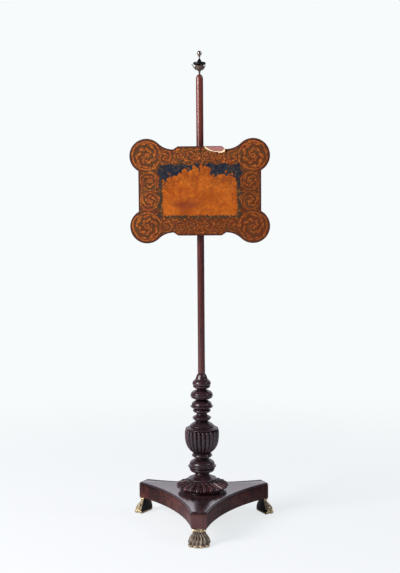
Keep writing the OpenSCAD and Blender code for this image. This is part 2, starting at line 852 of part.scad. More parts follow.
// The thumbscrew, with flat wings
module thumbscrew() {
    neck_end = boss_end + 3;
    collar_end = neck_end + 3;
    wing_radius = wing_span * 0.24;
    wing_level = collar_end + wing_radius - 1;
    color("#b89a5a") translate([0, 0, loop_levels[0]]) {
        rod_back(pin_radius, pad_back - pin_length, pad_back + 1);
        rod_back(thumbscrew_shank / 2, pad_back, wing_level);
        rod_back(thumbscrew_shank * 0.9, neck_end, collar_end);
        translate([0, 0, -1.6]) linear_extrude(3.2) {
            for (end = [-1, 1])
                translate([end * (wing_span / 2 - wing_radius), wing_level]) circle(r = wing_radius);
            translate([-wing_span / 2 + wing_radius, wing_level - wing_radius])
                square([wing_span - wing_radius * 2, wing_radius * 1.6]);
        }
    }
}

platform_core();
platform_top();
side_veneer_right();
side_veneer_back();
side_veneer_left();
corner_veneer_front();
corner_veneer_right();
corner_veneer_left();
paw_front();
paw_right();
paw_left();
foot_block_front();
foot_block_right();
foot_block_left();
foot_screws();
collar();
lower_stem();
tenon_wedge();
urn();
middle_stem();
upper_stem();
pole();
finial_rod();
leaf_cup();
drip_plate();
finial_cone();
finial_ball();
panel_core();
front_veneer();
back_veneer();
edge_lipping();
back_strap();
upper_loop();
lower_loop();
strap_screws();
clamp_pad();
thumbscrew();
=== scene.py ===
# %% [markdown]
# # A pole screen, dressed for its picture
# The screen is an antique: a veneered panel that slides on a turned pole and kept the heat of an
# open fire off a face. Its real sizes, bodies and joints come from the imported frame. This lesson
# adds what the frame leaves plain: turned mouldings, carving, cast brass and painted veneer.
# Every piece is made in the frame's own place, so nothing is fitted afterwards.

# %% Load the frame
import random
from math import atan2, cos, hypot, pi, radians, sin, sqrt

import bpy
from mathutils import Matrix, Vector, noise


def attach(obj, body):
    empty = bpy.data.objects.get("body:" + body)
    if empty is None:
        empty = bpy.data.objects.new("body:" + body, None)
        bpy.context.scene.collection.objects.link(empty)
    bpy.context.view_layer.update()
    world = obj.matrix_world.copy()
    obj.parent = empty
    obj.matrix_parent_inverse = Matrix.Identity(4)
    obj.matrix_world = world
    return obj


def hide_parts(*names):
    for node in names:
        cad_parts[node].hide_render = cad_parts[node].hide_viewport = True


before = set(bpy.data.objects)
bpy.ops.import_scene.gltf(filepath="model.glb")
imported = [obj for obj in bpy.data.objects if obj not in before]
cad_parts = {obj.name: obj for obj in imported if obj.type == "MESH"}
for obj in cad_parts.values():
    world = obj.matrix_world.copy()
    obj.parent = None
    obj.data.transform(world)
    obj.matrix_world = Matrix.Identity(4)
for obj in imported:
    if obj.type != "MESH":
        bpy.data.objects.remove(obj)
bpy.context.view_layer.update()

# %% [markdown]
# ## Camera
# The photograph looks a little down on the stand from just above eye level of a seated person, so
# the floor and the platform's top both show. The lens and the distance were worked out from two
# things that the picture gives: how open the ellipses of the turned rings are at different heights,
# and the panel's width against its lobes. The camera comes first, because it settles what shows.

# %% Camera
MM = 0.001
PHOTO_SIZE = (400, 573)
LENS_MM = 69.0
SENSOR_MM = 36.0
CAMERA_PLACE = Vector((0.153, -3.296, 1.0474))
CAMERA_LOOK = Vector((-0.047, 0.9943, -0.0959))
CAMERA_ROLL = radians(-0.4)

bpy.ops.object.select_all(action="DESELECT")
bpy.ops.object.camera_add(location=CAMERA_PLACE)
camera = bpy.context.object
camera.name = "photo_camera"
turn = CAMERA_LOOK.to_track_quat("-Z", "Y").to_matrix() @ Matrix.Rotation(CAMERA_ROLL, 3, "Z")
camera.rotation_euler = turn.to_euler()
camera.data.sensor_fit = "VERTICAL"
camera.data.sensor_height = SENSOR_MM
camera.data.lens = LENS_MM
bpy.context.scene.camera = camera
print("camera", LENS_MM, "mm lens at", round(CAMERA_PLACE.length, 2), "m")

# %% [markdown]
# ## Floor and light
# The picture was taken on a white sweep in a studio: one large soft lamp from the upper left, much
# white all round, and a faint lilac shadow to the right of the feet. One broad floor disc and a pale
# world give that. The world is white only to the camera and to polished surfaces, and weaker as a
# lamp, so the dark wood keeps its depth while its varnish still mirrors the white room.

# %% Floor
FLOOR_RADIUS = 40.0
STUDIO_WHITE = (0.93, 0.965, 0.973, 1.0)
SHADOW_WHITE = (0.93, 0.93, 0.99, 1.0)
WHITE_FROM = 0.5
WHITE_TO = 2.2
WHITE_NEAR = 0.76

bpy.ops.mesh.primitive_circle_add(vertices=96, radius=FLOOR_RADIUS, fill_type="NGON")
floor = bpy.context.object
floor.name = "studio_floor"

floor_paint = bpy.data.materials.new("studio_floor")
floor_paint.use_nodes = True
floor_nodes = floor_paint.node_tree.nodes
floor_links = floor_paint.node_tree.links
floor_shader = floor_nodes["Principled BSDF"]
floor_shader.inputs["Base Color"].default_value = SHADOW_WHITE
floor_shader.inputs["Roughness"].default_value = 0.9
floor_shader.inputs["Specular IOR Level"].default_value = 0.1
glow = floor_nodes.new("ShaderNodeEmission")
glow.inputs["Color"].default_value = STUDIO_WHITE
floor_place = floor_nodes.new("ShaderNodeTexCoord")
from_middle = floor_nodes.new("ShaderNodeVectorMath")
from_middle.operation = "LENGTH"
floor_links.new(floor_place.outputs["Object"], from_middle.inputs[0])
whiteness = floor_nodes.new("ShaderNodeMapRange")
whiteness.interpolation_type = "SMOOTHSTEP"
for label, amount in (("From Min", WHITE_FROM), ("From Max", WHITE_TO), ("To Min", WHITE_NEAR)):
    whiteness.inputs[label].default_value = amount
floor_links.new(from_middle.outputs["Value"], whiteness.inputs["Value"])
floor_ray = floor_nodes.new("ShaderNodeLightPath")
white_share = floor_nodes.new("ShaderNodeMath")
white_share.operation = "MULTIPLY"
floor_links.new(whiteness.outputs["Result"], white_share.inputs[0])
floor_links.new(floor_ray.outputs["Is Camera Ray"], white_share.inputs[1])
floor_mix = floor_nodes.new("ShaderNodeMixShader")
floor_links.new(white_share.outputs[0], floor_mix.inputs["Fac"])
floor_links.new(floor_shader.outputs["BSDF"], floor_mix.inputs[1])
floor_links.new(glow.outputs["Emission"], floor_mix.inputs[2])
floor_links.new(floor_mix.outputs["Shader"], floor_nodes["Material Output"].inputs["Surface"])
floor.data.materials.append(floor_paint)
print("floor", FLOOR_RADIUS * 2, "m across")

# %% World
# Polished surfaces see the white sweep behind the screen, and a darker room above and in front. All
# but the camera see a slightly lilac white, which tints the shadows too.
WORLD_LAMP = 0.32
ROOM_SHARE = 0.12
ROOM_WHITE = (0.94, 0.90, 1.0, 1.0)

world = bpy.data.worlds.new("studio")
bpy.context.scene.world = world
world.use_nodes = True
world_nodes = world.node_tree.nodes
world_links = world.node_tree.links
sky = world_nodes["Background"]
ray = world_nodes.new("ShaderNodeLightPath")
heading = world_nodes.new("ShaderNodeTexCoord")
heading_parts = world_nodes.new("ShaderNodeSeparateXYZ")
world_links.new(heading.outputs["Generated"], heading_parts.inputs[0])


def world_step(value, low, high, to_low=0.0, to_high=1.0):
    """A soft step from low to high in the world's nodes."""
    step = world_nodes.new("ShaderNodeMapRange")
    step.interpolation_type = "SMOOTHSTEP"
    world_links.new(value, step.inputs["Value"])
    for label, amount in (("From Min", low), ("From Max", high), ("To Min", to_low),
                          ("To Max", to_high)):
        step.inputs[label].default_value = amount
    return step.outputs["Result"]


def world_sum(operation, first, second):
    """One sum in the world's nodes."""
    node = world_nodes.new("ShaderNodeMath")
    node.operation = operation
    world_links.new(first, node.inputs[0])
    world_links.new(second, node.inputs[1])
    return node.outputs[0]


sweep = world_sum("MULTIPLY", world_step(heading_parts.outputs["Z"], 0.06, 0.24),
                  world_sum("MULTIPLY", world_step(heading_parts.outputs["Y"], 0.3, 0.8),
                            world_step(heading_parts.outputs["Z"], 0.9, 0.4)))
mirrored = world_sum("MULTIPLY", world_step(sweep, 0.0, 1.0, ROOM_SHARE), ray.outputs["Is Glossy Ray"])
as_lamp = world_step(ray.outputs["Is Glossy Ray"], 0.0, 1.0, WORLD_LAMP, 0.0)
tint = world_nodes.new("ShaderNodeMix")
tint.data_type = "RGBA"
tint.inputs["A"].default_value = ROOM_WHITE
tint.inputs["B"].default_value = STUDIO_WHITE
world_links.new(ray.outputs["Is Camera Ray"], tint.inputs["Factor"])
world_links.new(tint.outputs["Result"], sky.inputs["Color"])
world_links.new(world_sum("MAXIMUM", world_sum("MAXIMUM", mirrored, as_lamp),
                          ray.outputs["Is Camera Ray"]), sky.inputs["Strength"])

# %% Lamps
LAMP_AIM = Vector((0.0, 0.0, 0.7))


def soft_lamp(name, place, width, watts, tint):
    """A square soft box at a place in metres, turned towards the middle of the screen."""
    bpy.ops.object.light_add(type="AREA", location=place)
    lamp = bpy.context.object
    lamp.name = name
    lamp.rotation_euler = (LAMP_AIM - Vector(place)).to_track_quat("-Z", "Y").to_euler()
    lamp.data.shape = "SQUARE"
    lamp.data.size = width
    lamp.data.energy = watts
    lamp.data.color = tint
    return lamp


soft_lamp("key_softbox", (-2.95, -2.2, 2.2), 1.8, 205, (1.0, 0.98, 0.975))
soft_lamp("fill_softbox", (3.0, -0.9, 2.6), 1.0, 25, (0.93, 0.93, 1.0))
bpy.context.scene.view_settings.view_transform = "Standard"
print("two lamps and a pale world")

# %% [markdown]
# ## Working by hand, in code
# Each piece starts as a primitive at its own place and is shaped in edit mode. These small helpers
# save repeating the same few steps. One clears the selection, because an operator acts on all that
# is selected. One adds a modifier and applies it at once. One draws a flat shape by moving the
# corners of a filled circle, which then can be extruded like any face.

# %% Helpers for shaping
def clear_choice():
    """Leaves edit mode and selects nothing."""
    if bpy.context.object and bpy.context.object.mode != "OBJECT":
        bpy.ops.object.mode_set(mode="OBJECT")
    bpy.ops.object.select_all(action="DESELECT")


def take_up(piece):
    """Selects one piece and makes it the active one."""
    clear_choice()
    piece.select_set(True)
    bpy.context.view_layer.objects.active = piece


def finish_with(piece, kind, **settings):
    """Adds a modifier with these settings and applies it."""
    take_up(piece)
    modifier = piece.modifiers.new(kind, kind)
    for setting, value in settings.items():
        setattr(modifier, setting, value)
    bpy.ops.object.modifier_apply(modifier=modifier.name)
    return piece


def outward(piece, join=0.00001):
    """Merges doubled corners and turns all faces outwards."""
    take_up(piece)
    bpy.ops.object.mode_set(mode="EDIT")
    bpy.ops.mesh.select_all(action="SELECT")
    bpy.ops.mesh.remove_doubles(threshold=join)
    bpy.ops.mesh.normals_make_consistent(inside=False)
    bpy.ops.object.mode_set(mode="OBJECT")
    return piece


def smooth_faces(piece, angle=180):
    """Smooth shading, with an edge kept wherever faces meet more sharply than the angle."""
    take_up(piece)
    bpy.ops.object.shade_smooth_by_angle(angle=radians(angle))
    return piece


def seat(piece):
    """Puts the piece's place, turn and scale into its mesh."""
    take_up(piece)
    bpy.ops.object.transform_apply(location=True, rotation=True, scale=True)
    return piece


def turned(name, profile, sides=40, softness=2):
    """A piece turned on the lathe, from (height, radius) pairs in millimetres, lowest first."""
    clear_choice()
    height, radius = profile[0]
    bpy.ops.mesh.primitive_circle_add(
        vertices=sides, radius=radius * MM, fill_type="NGON", location=(0, 0, height * MM))
    piece = bpy.context.object
    piece.name = name
    bpy.ops.object.mode_set(mode="EDIT")
    for next_height, next_radius in profile[1:]:
        rise = (next_height - height) * MM
        swell = next_radius / radius
        bpy.ops.mesh.extrude_region_move(TRANSFORM_OT_translate={"value": (0, 0, rise)})
        bpy.ops.transform.resize(
            value=(swell, swell, 1), center_override=(0, 0, next_height * MM))
        height, radius = next_height, next_radius
    bpy.ops.object.mode_set(mode="OBJECT")
    seat(piece)
    outward(piece, 0.0000001)
    if softness:
        finish_with(piece, "SUBSURF", levels=softness, render_levels=softness)
    smooth_faces(piece)
    return piece


def flowing(profile):
    """The same profile with a ring added on a smooth curve between each two, for a carved piece.

    A carved piece has too many corners in a ring to be rounded by a subdivision surface."""
    fuller = []
    last = len(profile) - 1
    for place in range(last):
        before, start, end, after = (
            profile[min(last, max(0, place + step))] for step in (-1, 0, 1, 2))
        fuller.append(start)
        fuller.append(tuple((9 * (a + b) - c - d) / 16
                            for a, b, c, d in zip(start, end, before, after)))
    return fuller + [profile[last]]


def flat_shape(name, outline, depth=0.0):
    """A filled outline of (x, y) corners in millimetres: a filled circle whose corners are moved."""
    clear_choice()
    bpy.ops.mesh.primitive_circle_add(vertices=len(outline), radius=1, fill_type="NGON")
    piece = bpy.context.object
    piece.name = name
    for corner, (x, y) in zip(piece.data.vertices, outline):
        corner.co = (x * MM, y * MM, depth * MM)
    return piece


def board_from(name, outline, low, high, edge=0.4, steps=2):
    """A flat shape given thickness between two heights, with its edges eased."""
    piece = flat_shape(name, outline, low)
    bpy.ops.object.mode_set(mode="EDIT")
    bpy.ops.mesh.select_all(action="SELECT")
    bpy.ops.mesh.extrude_region_move(TRANSFORM_OT_translate={"value": (0, 0, (high - low) * MM)})
    bpy.ops.object.mode_set(mode="OBJECT")
    outward(piece, 0.0000001)
    ease_edges(piece, edge, steps)
    return piece


def ease_edges(piece, width, steps=2, angle=35):
    """Rounds the sharp edges by a width in millimetres."""
    finish_with(piece, "BEVEL", width=width * MM, segments=steps, limit_method="ANGLE",
                angle_limit=radians(angle), harden_normals=False)
    smooth_faces(piece, 40)
    return piece


def joined(name, pieces):
    """Several meshes made one."""
    clear_choice()
    for piece in pieces:
        piece.select_set(True)
    bpy.context.view_layer.objects.active = pieces[0]
    bpy.ops.object.join()
    pieces[0].name = name
    return pieces[0]


def twin(piece, name, turn=0.0):
    """A copy with its own mesh, turned about the pole's axis by an angle in degrees."""
    take_up(piece)
    bpy.ops.object.duplicate(linked=False)
    copy = bpy.context.object
    copy.name = name
    copy.rotation_euler = (0, 0, radians(turn))
    return seat(copy)


def dressed_copy(node, name, edge=0.3, steps=2):
    """A merged copy of a frame node with its edges eased, ready to stand for it."""
    clear_choice()
    copy = bpy.data.objects.new(name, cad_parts[node].data.copy())
    bpy.context.scene.collection.objects.link(copy)
    copy.data.materials.clear()
    take_up(copy)
    bpy.ops.object.mode_set(mode="EDIT")
    bpy.ops.mesh.select_all(action="SELECT")
    bpy.ops.mesh.remove_doubles(threshold=0.00002)
    bpy.ops.mesh.dissolve_limited(angle_limit=radians(0.5))
    bpy.ops.object.mode_set(mode="OBJECT")
    ease_edges(copy, edge, steps)
    return copy


def settle(piece, body, slot, finish, *nodes):
    """Gives a piece its finish, its body and the frame nodes it stands for. The slot is not used."""
    piece.data.materials.clear()
    piece.data.materials.append(finish)
    if nodes:
        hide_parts(*nodes)
    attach(piece, body)
    print(piece.name, len(piece.data.polygons), "faces")
    return piece

# %% [markdown]
# ## Finishes as node groups
# The stand has four kinds of surface: dark polished rosewood, redder mahogany, cast brass and
# painted veneer. Age and painted shade are laid on them alike. Pores and figure run through the wood.
# Hollows are darker: dirt in the brass, and painted shade with some dirt in the wood. Edges rub bare,
# and on the column and the collar they carry a painted sheen as well. Dust lies on what faces up.
# Each of these is a group, so that it is built once and each finish sets its own amounts. The groups
# give colours, masks and heights only, and the shader stays in the material.

# %% Helpers for nodes
def new_group(name, inputs, outputs):
    """An empty node group with named inputs and outputs, each (name, socket kind, default)."""
    group = bpy.data.node_groups.new(name, "ShaderNodeTree")
    for label, kind, default in inputs:
        socket = group.interface.new_socket(name=label, in_out="INPUT", socket_type=kind)
        if default is not None:
            socket.default_value = default
    for label, kind in outputs:
        group.interface.new_socket(name=label, in_out="OUTPUT", socket_type=kind)
    return group, group.nodes.new("NodeGroupInput"), group.nodes.new("NodeGroupOutput")


def feed(tree, socket, value):
    """Links an output into a socket, or sets a plain value on it."""
    if isinstance(value, bpy.types.NodeSocket):
        tree.links.new(value, socket)
    elif value is not None:
        socket.default_value = value


def calc(tree, operation, first, second=None, third=None):
    """One sum on numbers."""
    node = tree.nodes.new("ShaderNodeMath")
    node.operation = operation
    for socket, value in zip(node.inputs, (first, second, third)):
        feed(tree, socket, value)
    return node.outputs[0]


def ramp(tree, value, low, high, to_low=0.0, to_high=1.0):
    """A soft step of a number from low to high."""
    node = tree.nodes.new("ShaderNodeMapRange")
    node.interpolation_type = "SMOOTHSTEP"
    for label, amount in (("Value", value), ("From Min", low), ("From Max", high),
                          ("To Min", to_low), ("To Max", to_high)):
        feed(tree, node.inputs[label], amount)
    return node.outputs["Result"]


def blend_colours(tree, share, first, second, kind="MIX"):
    """A mix of two colours by a share."""
    node = tree.nodes.new("ShaderNodeMix")
    node.data_type = "RGBA"
    node.blend_type = kind
    feed(tree, node.inputs[0], share)
    feed(tree, node.inputs[6], first)
    feed(tree, node.inputs[7], second)
    return node.outputs[2]


def placed(tree, vector, scale=(1, 1, 1), turn=(0, 0, 0), shift=(0, 0, 0)):
    """A pattern's coordinates, scaled, turned and shifted."""
    node = tree.nodes.new("ShaderNodeMapping")
    feed(tree, node.inputs["Vector"], vector)
    node.inputs["Scale"].default_value = scale
    node.inputs["Rotation"].default_value = turn
    node.inputs["Location"].default_value = shift
    return node.outputs["Vector"]


def clouds(tree, vector, scale, detail=4.0, rough=0.55, distortion=0.0):
    """Noise as a number from about 0.2 to 0.8."""
    node = tree.nodes.new("ShaderNodeTexNoise")
    feed(tree, node.inputs["Vector"], vector)
    feed(tree, node.inputs["Scale"], scale)
    node.inputs["Detail"].default_value = detail
    node.inputs["Roughness"].default_value = rough
    node.inputs["Distortion"].default_value = distortion
    return node.outputs["Fac"]


def use(tree, group, **values):
    """Places a group in a material or another group; underscores in names stand for spaces."""
    node = tree.nodes.new("ShaderNodeGroup")
    node.node_tree = group
    for label, value in values.items():
        feed(tree, node.inputs[label.replace("_", " ")], value)
    return node.outputs

# %% Wood grain group
# The vector's third axis runs along the grain, in metres.
wood_grain, wood_in, wood_out = new_group(
    "wood_grain",
    [("Vector", "NodeSocketVector", None), ("Dark", "NodeSocketColor", (0.02, 0.01, 0.01, 1)),
     ("Middle", "NodeSocketColor", (0.05, 0.02, 0.02, 1)),
     ("Light", "NodeSocketColor", (0.1, 0.04, 0.03, 1)), ("Figure", "NodeSocketFloat", 0.5)],
    [("Colour", "NodeSocketColor"), ("Height", "NodeSocketFloat"), ("Pores", "NodeSocketFloat")])
along = placed(wood_grain, wood_in.outputs["Vector"], scale=(1, 1, 0.09))
bands = clouds(wood_grain, along, 95.0, 5.0, 0.6, 0.6)
slow = clouds(wood_grain, placed(wood_grain, wood_in.outputs["Vector"], scale=(1, 1, 0.3)), 16.0, 2.0)
fine = clouds(wood_grain, placed(wood_grain, wood_in.outputs["Vector"], scale=(1, 1, 0.025)),
              900.0, 2.0, 0.5)
figure = calc(wood_grain, "MULTIPLY_ADD", calc(wood_grain, "SUBTRACT", slow, 0.5),
              wood_in.outputs["Figure"], bands)
dark_to_middle = blend_colours(wood_grain, ramp(wood_grain, figure, 0.32, 0.5),
                               wood_in.outputs["Dark"], wood_in.outputs["Middle"])
grain_colour = blend_colours(wood_grain, ramp(wood_grain, figure, 0.5, 0.72),
                             dark_to_middle, wood_in.outputs["Light"])
pores = ramp(wood_grain, fine, 0.58, 0.66)
pored_colour = blend_colours(wood_grain, calc(wood_grain, "MULTIPLY", pores, 0.7),
                             grain_colour, wood_in.outputs["Dark"])
wood_grain.links.new(pored_colour, wood_out.inputs["Colour"])
wood_grain.links.new(calc(wood_grain, "SUBTRACT", figure, pores), wood_out.inputs["Height"])
wood_grain.links.new(pores, wood_out.inputs["Pores"])

# %% Age and shade group
# Hollows come from the shading of near surfaces: the brass takes them as dirt, the wood as painted
# shade with some dirt. Rubbed edges come from how pointed the mesh is.
age_and_shade, age_and_shade_in, age_and_shade_out = new_group(
    "age_and_shade",
    [("Vector", "NodeSocketVector", None), ("Hollow size", "NodeSocketFloat", 0.006)],
    [("Hollows", "NodeSocketFloat"), ("Edges", "NodeSocketFloat"), ("Dust", "NodeSocketFloat"),
     ("Smears", "NodeSocketFloat")])
occlusion = age_and_shade.nodes.new("ShaderNodeAmbientOcclusion")
occlusion.samples = 6
age_and_shade.links.new(age_and_shade_in.outputs["Hollow size"], occlusion.inputs["Distance"])
patchy = clouds(age_and_shade, age_and_shade_in.outputs["Vector"], 60.0, 5.0, 0.6)
hollows = ramp(age_and_shade, calc(age_and_shade, "ADD", occlusion.outputs["AO"],
                         calc(age_and_shade, "MULTIPLY", patchy, 0.3)), 1.08, 0.45)
geometry = age_and_shade.nodes.new("ShaderNodeNewGeometry")
edges = ramp(age_and_shade, calc(age_and_shade, "MULTIPLY_ADD", calc(age_and_shade, "SUBTRACT", patchy, 0.5), 0.12,
                       geometry.outputs["Pointiness"]), 0.52, 0.6)
facing = age_and_shade.nodes.new("ShaderNodeSeparateXYZ")
age_and_shade.links.new(geometry.outputs["Normal"], facing.inputs[0])
speckle = clouds(age_and_shade, age_and_shade_in.outputs["Vector"], 700.0, 3.0, 0.7)
settled = ramp(age_and_shade, calc(age_and_shade, "MULTIPLY_ADD", calc(age_and_shade, "SUBTRACT", patchy, 0.5), 0.5,
                         facing.outputs["Z"]), 0.35, 1.1)
dust = calc(age_and_shade, "MULTIPLY", settled, ramp(age_and_shade, speckle, 0.4, 0.62))
smears = clouds(age_and_shade, placed(age_and_shade, age_and_shade_in.outputs["Vector"], scale=(1, 1, 0.5)), 35.0, 4.0, 0.65, 1.5)
for value, label in ((hollows, "Hollows"), (edges, "Edges"), (dust, "Dust"), (smears, "Smears")):
    age_and_shade.links.new(value, age_and_shade_out.inputs[label])
print("groups:", [group.name for group in bpy.data.node_groups])

# %% [markdown]
# ## Dark rosewood, mahogany and black
# The column is rosewood so dark that it reads as brown-black, with a lilac shine where the varnish
# mirrors the studio. The pole and the platform's sides are redder. All come from one recipe: three
# wood colours, a coat of varnish that is duller in smears and over dust, pores that dent it, and
# painted shade in the hollows; some also get a painted sheen on their edges or painted light at the top.

# %% Wood finishes
def wood_finish(name, dark, middle, light, grain_turn=(0, 0, 0), figure=0.5, gloss=0.3, coat=0.5,
                shine=0.5, dusty=0.15, hollow=0.006, bump=0.35, hollow_shade_and_dirt=None, mirror=1.5, blur=0.1,
                level=False, worn_and_sheen=None, worn_and_sheen_share=0.35, painted_light_top=None):
    """Polished wood. grain_turn brings the grain's run to the third axis.

    hollow_shade_and_dirt is the colour of the hollows, painted shade with some dirt. worn_and_sheen is
    the colour of the rubbed edges; where it is set paler and greyer than the wood, it is a painted sheen
    as well as rubbing. mirror and blur are how strongly and how softly the varnish reflects, and level
    keeps its shine off upright faces.
    painted_light_top is a colour and the two heights in metres between which the wood turns to it:
    painted light, lighter towards the top."""
    paint = bpy.data.materials.new(name)
    paint.use_nodes = True
    tree = paint.node_tree
    shader = tree.nodes["Principled BSDF"]
    place = tree.nodes.new("ShaderNodeTexCoord").outputs["Object"]
    grain = use(tree, wood_grain, Vector=placed(tree, place, turn=grain_turn), Dark=dark + (1,),
                Middle=middle + (1,), Light=light + (1,), Figure=figure)
    surface_masks = use(tree, age_and_shade, Vector=place, Hollow_size=hollow)
    # Painted shade: the hollows are darkened towards a near-black colour, with some dirt.
    darkened_in_hollows = blend_colours(tree, calc(tree, "MULTIPLY", surface_masks["Hollows"], 0.75), grain["Colour"],
                           (hollow_shade_and_dirt or tuple(channel * 0.25 for channel in dark)) + (1,))
    # Rubbed edges: where their colour is paler and greyer than the wood, a painted sheen as well as rubbing.
    rubbed = blend_colours(tree, calc(tree, "MULTIPLY", surface_masks["Edges"], worn_and_sheen_share), darkened_in_hollows,
                           (worn_and_sheen or light) + (1,))
    base_colour = blend_colours(tree, calc(tree, "MULTIPLY", surface_masks["Dust"], dusty), rubbed,
                           (0.34, 0.30, 0.31, 1))
    # Painted light: from the lower height up, the wood turns lighter and more orange.
    if painted_light_top:
        rise = tree.nodes.new("ShaderNodeSeparateXYZ")
        tree.links.new(place, rise.inputs[0])
        share = ramp(tree, rise.outputs["Z"], painted_light_top[1], painted_light_top[2], 0.0, 0.85)
        share = calc(tree, "MULTIPLY", share, ramp(tree, grain["Height"], 0.1, 0.5, 0.6, 1.0))
        base_colour = blend_colours(tree, share, base_colour, painted_light_top[0] + (1,))
    tree.links.new(base_colour, shader.inputs["Base Color"])
    dullness = calc(tree, "MULTIPLY_ADD", calc(tree, "SUBTRACT", surface_masks["Smears"], 0.4), 0.35, gloss)
    tree.links.new(calc(tree, "MULTIPLY_ADD", surface_masks["Dust"], dusty, dullness),
                   shader.inputs["Roughness"])
    shader.inputs["Specular IOR Level"].default_value = shine
    varnish = calc(tree, "MULTIPLY_ADD", surface_masks["Hollows"], -0.9 * coat, coat)
    if level:
        upright = tree.nodes.new("ShaderNodeSeparateXYZ")
        tree.links.new(tree.nodes.new("ShaderNodeNewGeometry").outputs["Normal"], upright.inputs[0])
        varnish = calc(tree, "MULTIPLY", varnish, ramp(tree, upright.outputs["Z"], 0.12, 0.45, 0.1))
    tree.links.new(varnish, shader.inputs["Coat Weight"])
    shader.inputs["Coat Roughness"].default_value = blur
    shader.inputs["Coat IOR"].default_value = mirror
    dent = tree.nodes.new("ShaderNodeBump")
    dent.inputs["Strength"].default_value = bump
    dent.inputs["Distance"].default_value = 0.0002
    tree.links.new(grain["Height"], dent.inputs["Height"])
    tree.links.new(dent.outputs["Normal"], shader.inputs["Normal"])
    return paint


# Painted shade darkens the column's crevices and the undersides of its knops, with some dirt, and the rubbed
# edges carry a painted lilac-grey sheen.
column_wood = wood_finish("column_rosewood", (0.012, 0.0042, 0.0065), (0.027, 0.010, 0.0145),
                          (0.058, 0.020, 0.027), figure=0.7, gloss=0.3, coat=0.85, shine=0.08,
                          dusty=0.04, hollow=0.011, hollow_shade_and_dirt=(0.005, 0.0012, 0.002), blur=0.26,
                          worn_and_sheen=(0.13, 0.095, 0.108), worn_and_sheen_share=0.5)
# Painted shade darkens the grooves between the reeds, with some dirt, and the reeds' crests carry a painted
# pale sheen.
collar_wood = wood_finish("collar_rosewood", (0.012, 0.003, 0.0045), (0.034, 0.009, 0.012),
                          (0.09, 0.024, 0.026), figure=0.8, gloss=0.3, coat=0.75, shine=0.1,
                          dusty=0.1, hollow=0.0065, hollow_shade_and_dirt=(0.004, 0.001, 0.0013), blur=0.22,
                          worn_and_sheen=(0.3, 0.23, 0.24), worn_and_sheen_share=1.0)
# Painted light: the pole is lighter and more orange near its top.
pole_wood = wood_finish("pole_mahogany", (0.024, 0.0045, 0.004), (0.064, 0.0125, 0.0105),
                        (0.11, 0.026, 0.02), figure=0.45, gloss=0.35, coat=0.85, shine=0.04,
                        dusty=0.02, blur=0.18, painted_light_top=((0.165, 0.035, 0.022), 1.10, 1.25))
print("wood finishes ready")

# %% [markdown]
# ## The turned column
# The column is four turned pieces, tenoned into each other: a lower stem that flares on to the
# collar, a carved urn, a ringed middle stem and an upper stem that holds the pole. A lathe piece
# could be a spun outline, but extruding a disc upwards ring by ring and resizing each ring follows
# a turner's own way of reading a profile, one height and one radius at a time. A subdivision
# surface then rounds the beads, and two close rings keep an edge crisp.

# %% Lower stem
lower_stem = turned("turned_lower_stem", [
    (134, 41), (134.6, 43.6), (138.6, 44), (140.6, 43.6), (141.4, 41), (143, 35.5), (145.5, 30),
    (149, 25), (152.5, 21.8), (155.6, 20.4), (157.2, 20.6), (158.2, 25), (160, 31), (162.6, 35.6),
    (165.6, 38), (168.6, 38.8), (170.8, 38.4), (171.8, 37), (172.2, 35), (173, 34.4), (174.2, 34.6),
    (174.6, 37.6), (174.9, 41.2), (176, 42.9), (177.6, 43.2), (179.2, 42.4), (179.9, 40.6),
    (180.3, 38.4), (181.6, 38.4), (184.8, 38.9), (188.4, 37.8),
    (191.6, 35.6), (194.6, 32.4), (196.8, 28), (198.2, 22.6), (199.4, 20), (202.6, 18.2),
    (204.2, 19.4), (205.2, 24.6), (207, 29), (209.6, 31.2), (212.6, 31.2), (215.2, 29),
    (217, 27.4), (219, 27)])
settle(lower_stem, "stand", "column_wood", column_wood, "lower_stem")

# %% [markdown]
# ## The carved urn
# The urn's body is turned smooth first, and then the carver cuts 24 round-topped lobes into it.
# Doing the same in the mesh keeps the silhouette true: the profile is turned with ten corners to a
# lobe, and each corner is then let in towards the axis by how far it lies from its lobe's middle.
# Close rings near the shoulder give the round tops room.

# %% Urn
URN_LOBES = 24
LOBE_DEPTH = 5.6
LOBE_FILL = 0.78
LOBE_TOP = 293.0
LOBE_ROUND = 7.5
LOBE_FOOT = 221.0


def urn_rings():
    """The urn's smooth profile: three rings below, a full body and the plain shoulder."""
    body = [(219, 26.6), (221.5, 29.6), (225, 34), (229, 38.2), (233.5, 41.8), (238.5, 44.9),
            (244, 47.6), (250, 49.6), (256, 51), (262, 51.8), (268, 52.3), (274, 52.5),
            (279, 52.5), (282, 52.4)]
    tops = [(height, 52.4 - ((height - 283) / 22) ** 2 * 6) for height in range(283, 295)]
    shoulder = [(295.2, 50), (296.6, 47.6), (298.2, 44), (299.6, 40.2), (300.8, 36.6),
                (301.8, 35.8), (302.8, 37.2), (304, 36.8), (306, 34.8), (308, 32.6), (310.2, 29.8),
                (312.4, 26.2), (314.2, 22.4), (315.4, 19.2), (316.4, 17.6), (318, 17.2)]
    return body + tops + shoulder


def lobe_relief(angle, height):
    """How far a point lies below the lobes' crests, in millimetres."""
    across = (angle / (2 * pi) * URN_LOBES) % 1.0 * 2 - 1
    rise = max(0.0, (height - (LOBE_TOP - LOBE_ROUND)) / LOBE_ROUND)
    fall = max(0.0, (LOBE_FOOT + 6 - height) / 8)
    crest = sqrt(max(0.0, 1 - (across / LOBE_FILL) ** 2 - min(1.0, rise * rise)))
    plain = min(1.0, max(0.0, (height - LOBE_TOP) / 1.6))
    return LOBE_DEPTH * (1 - crest) * (1 - plain) * (1 - min(1.0, fall) * 0.6)


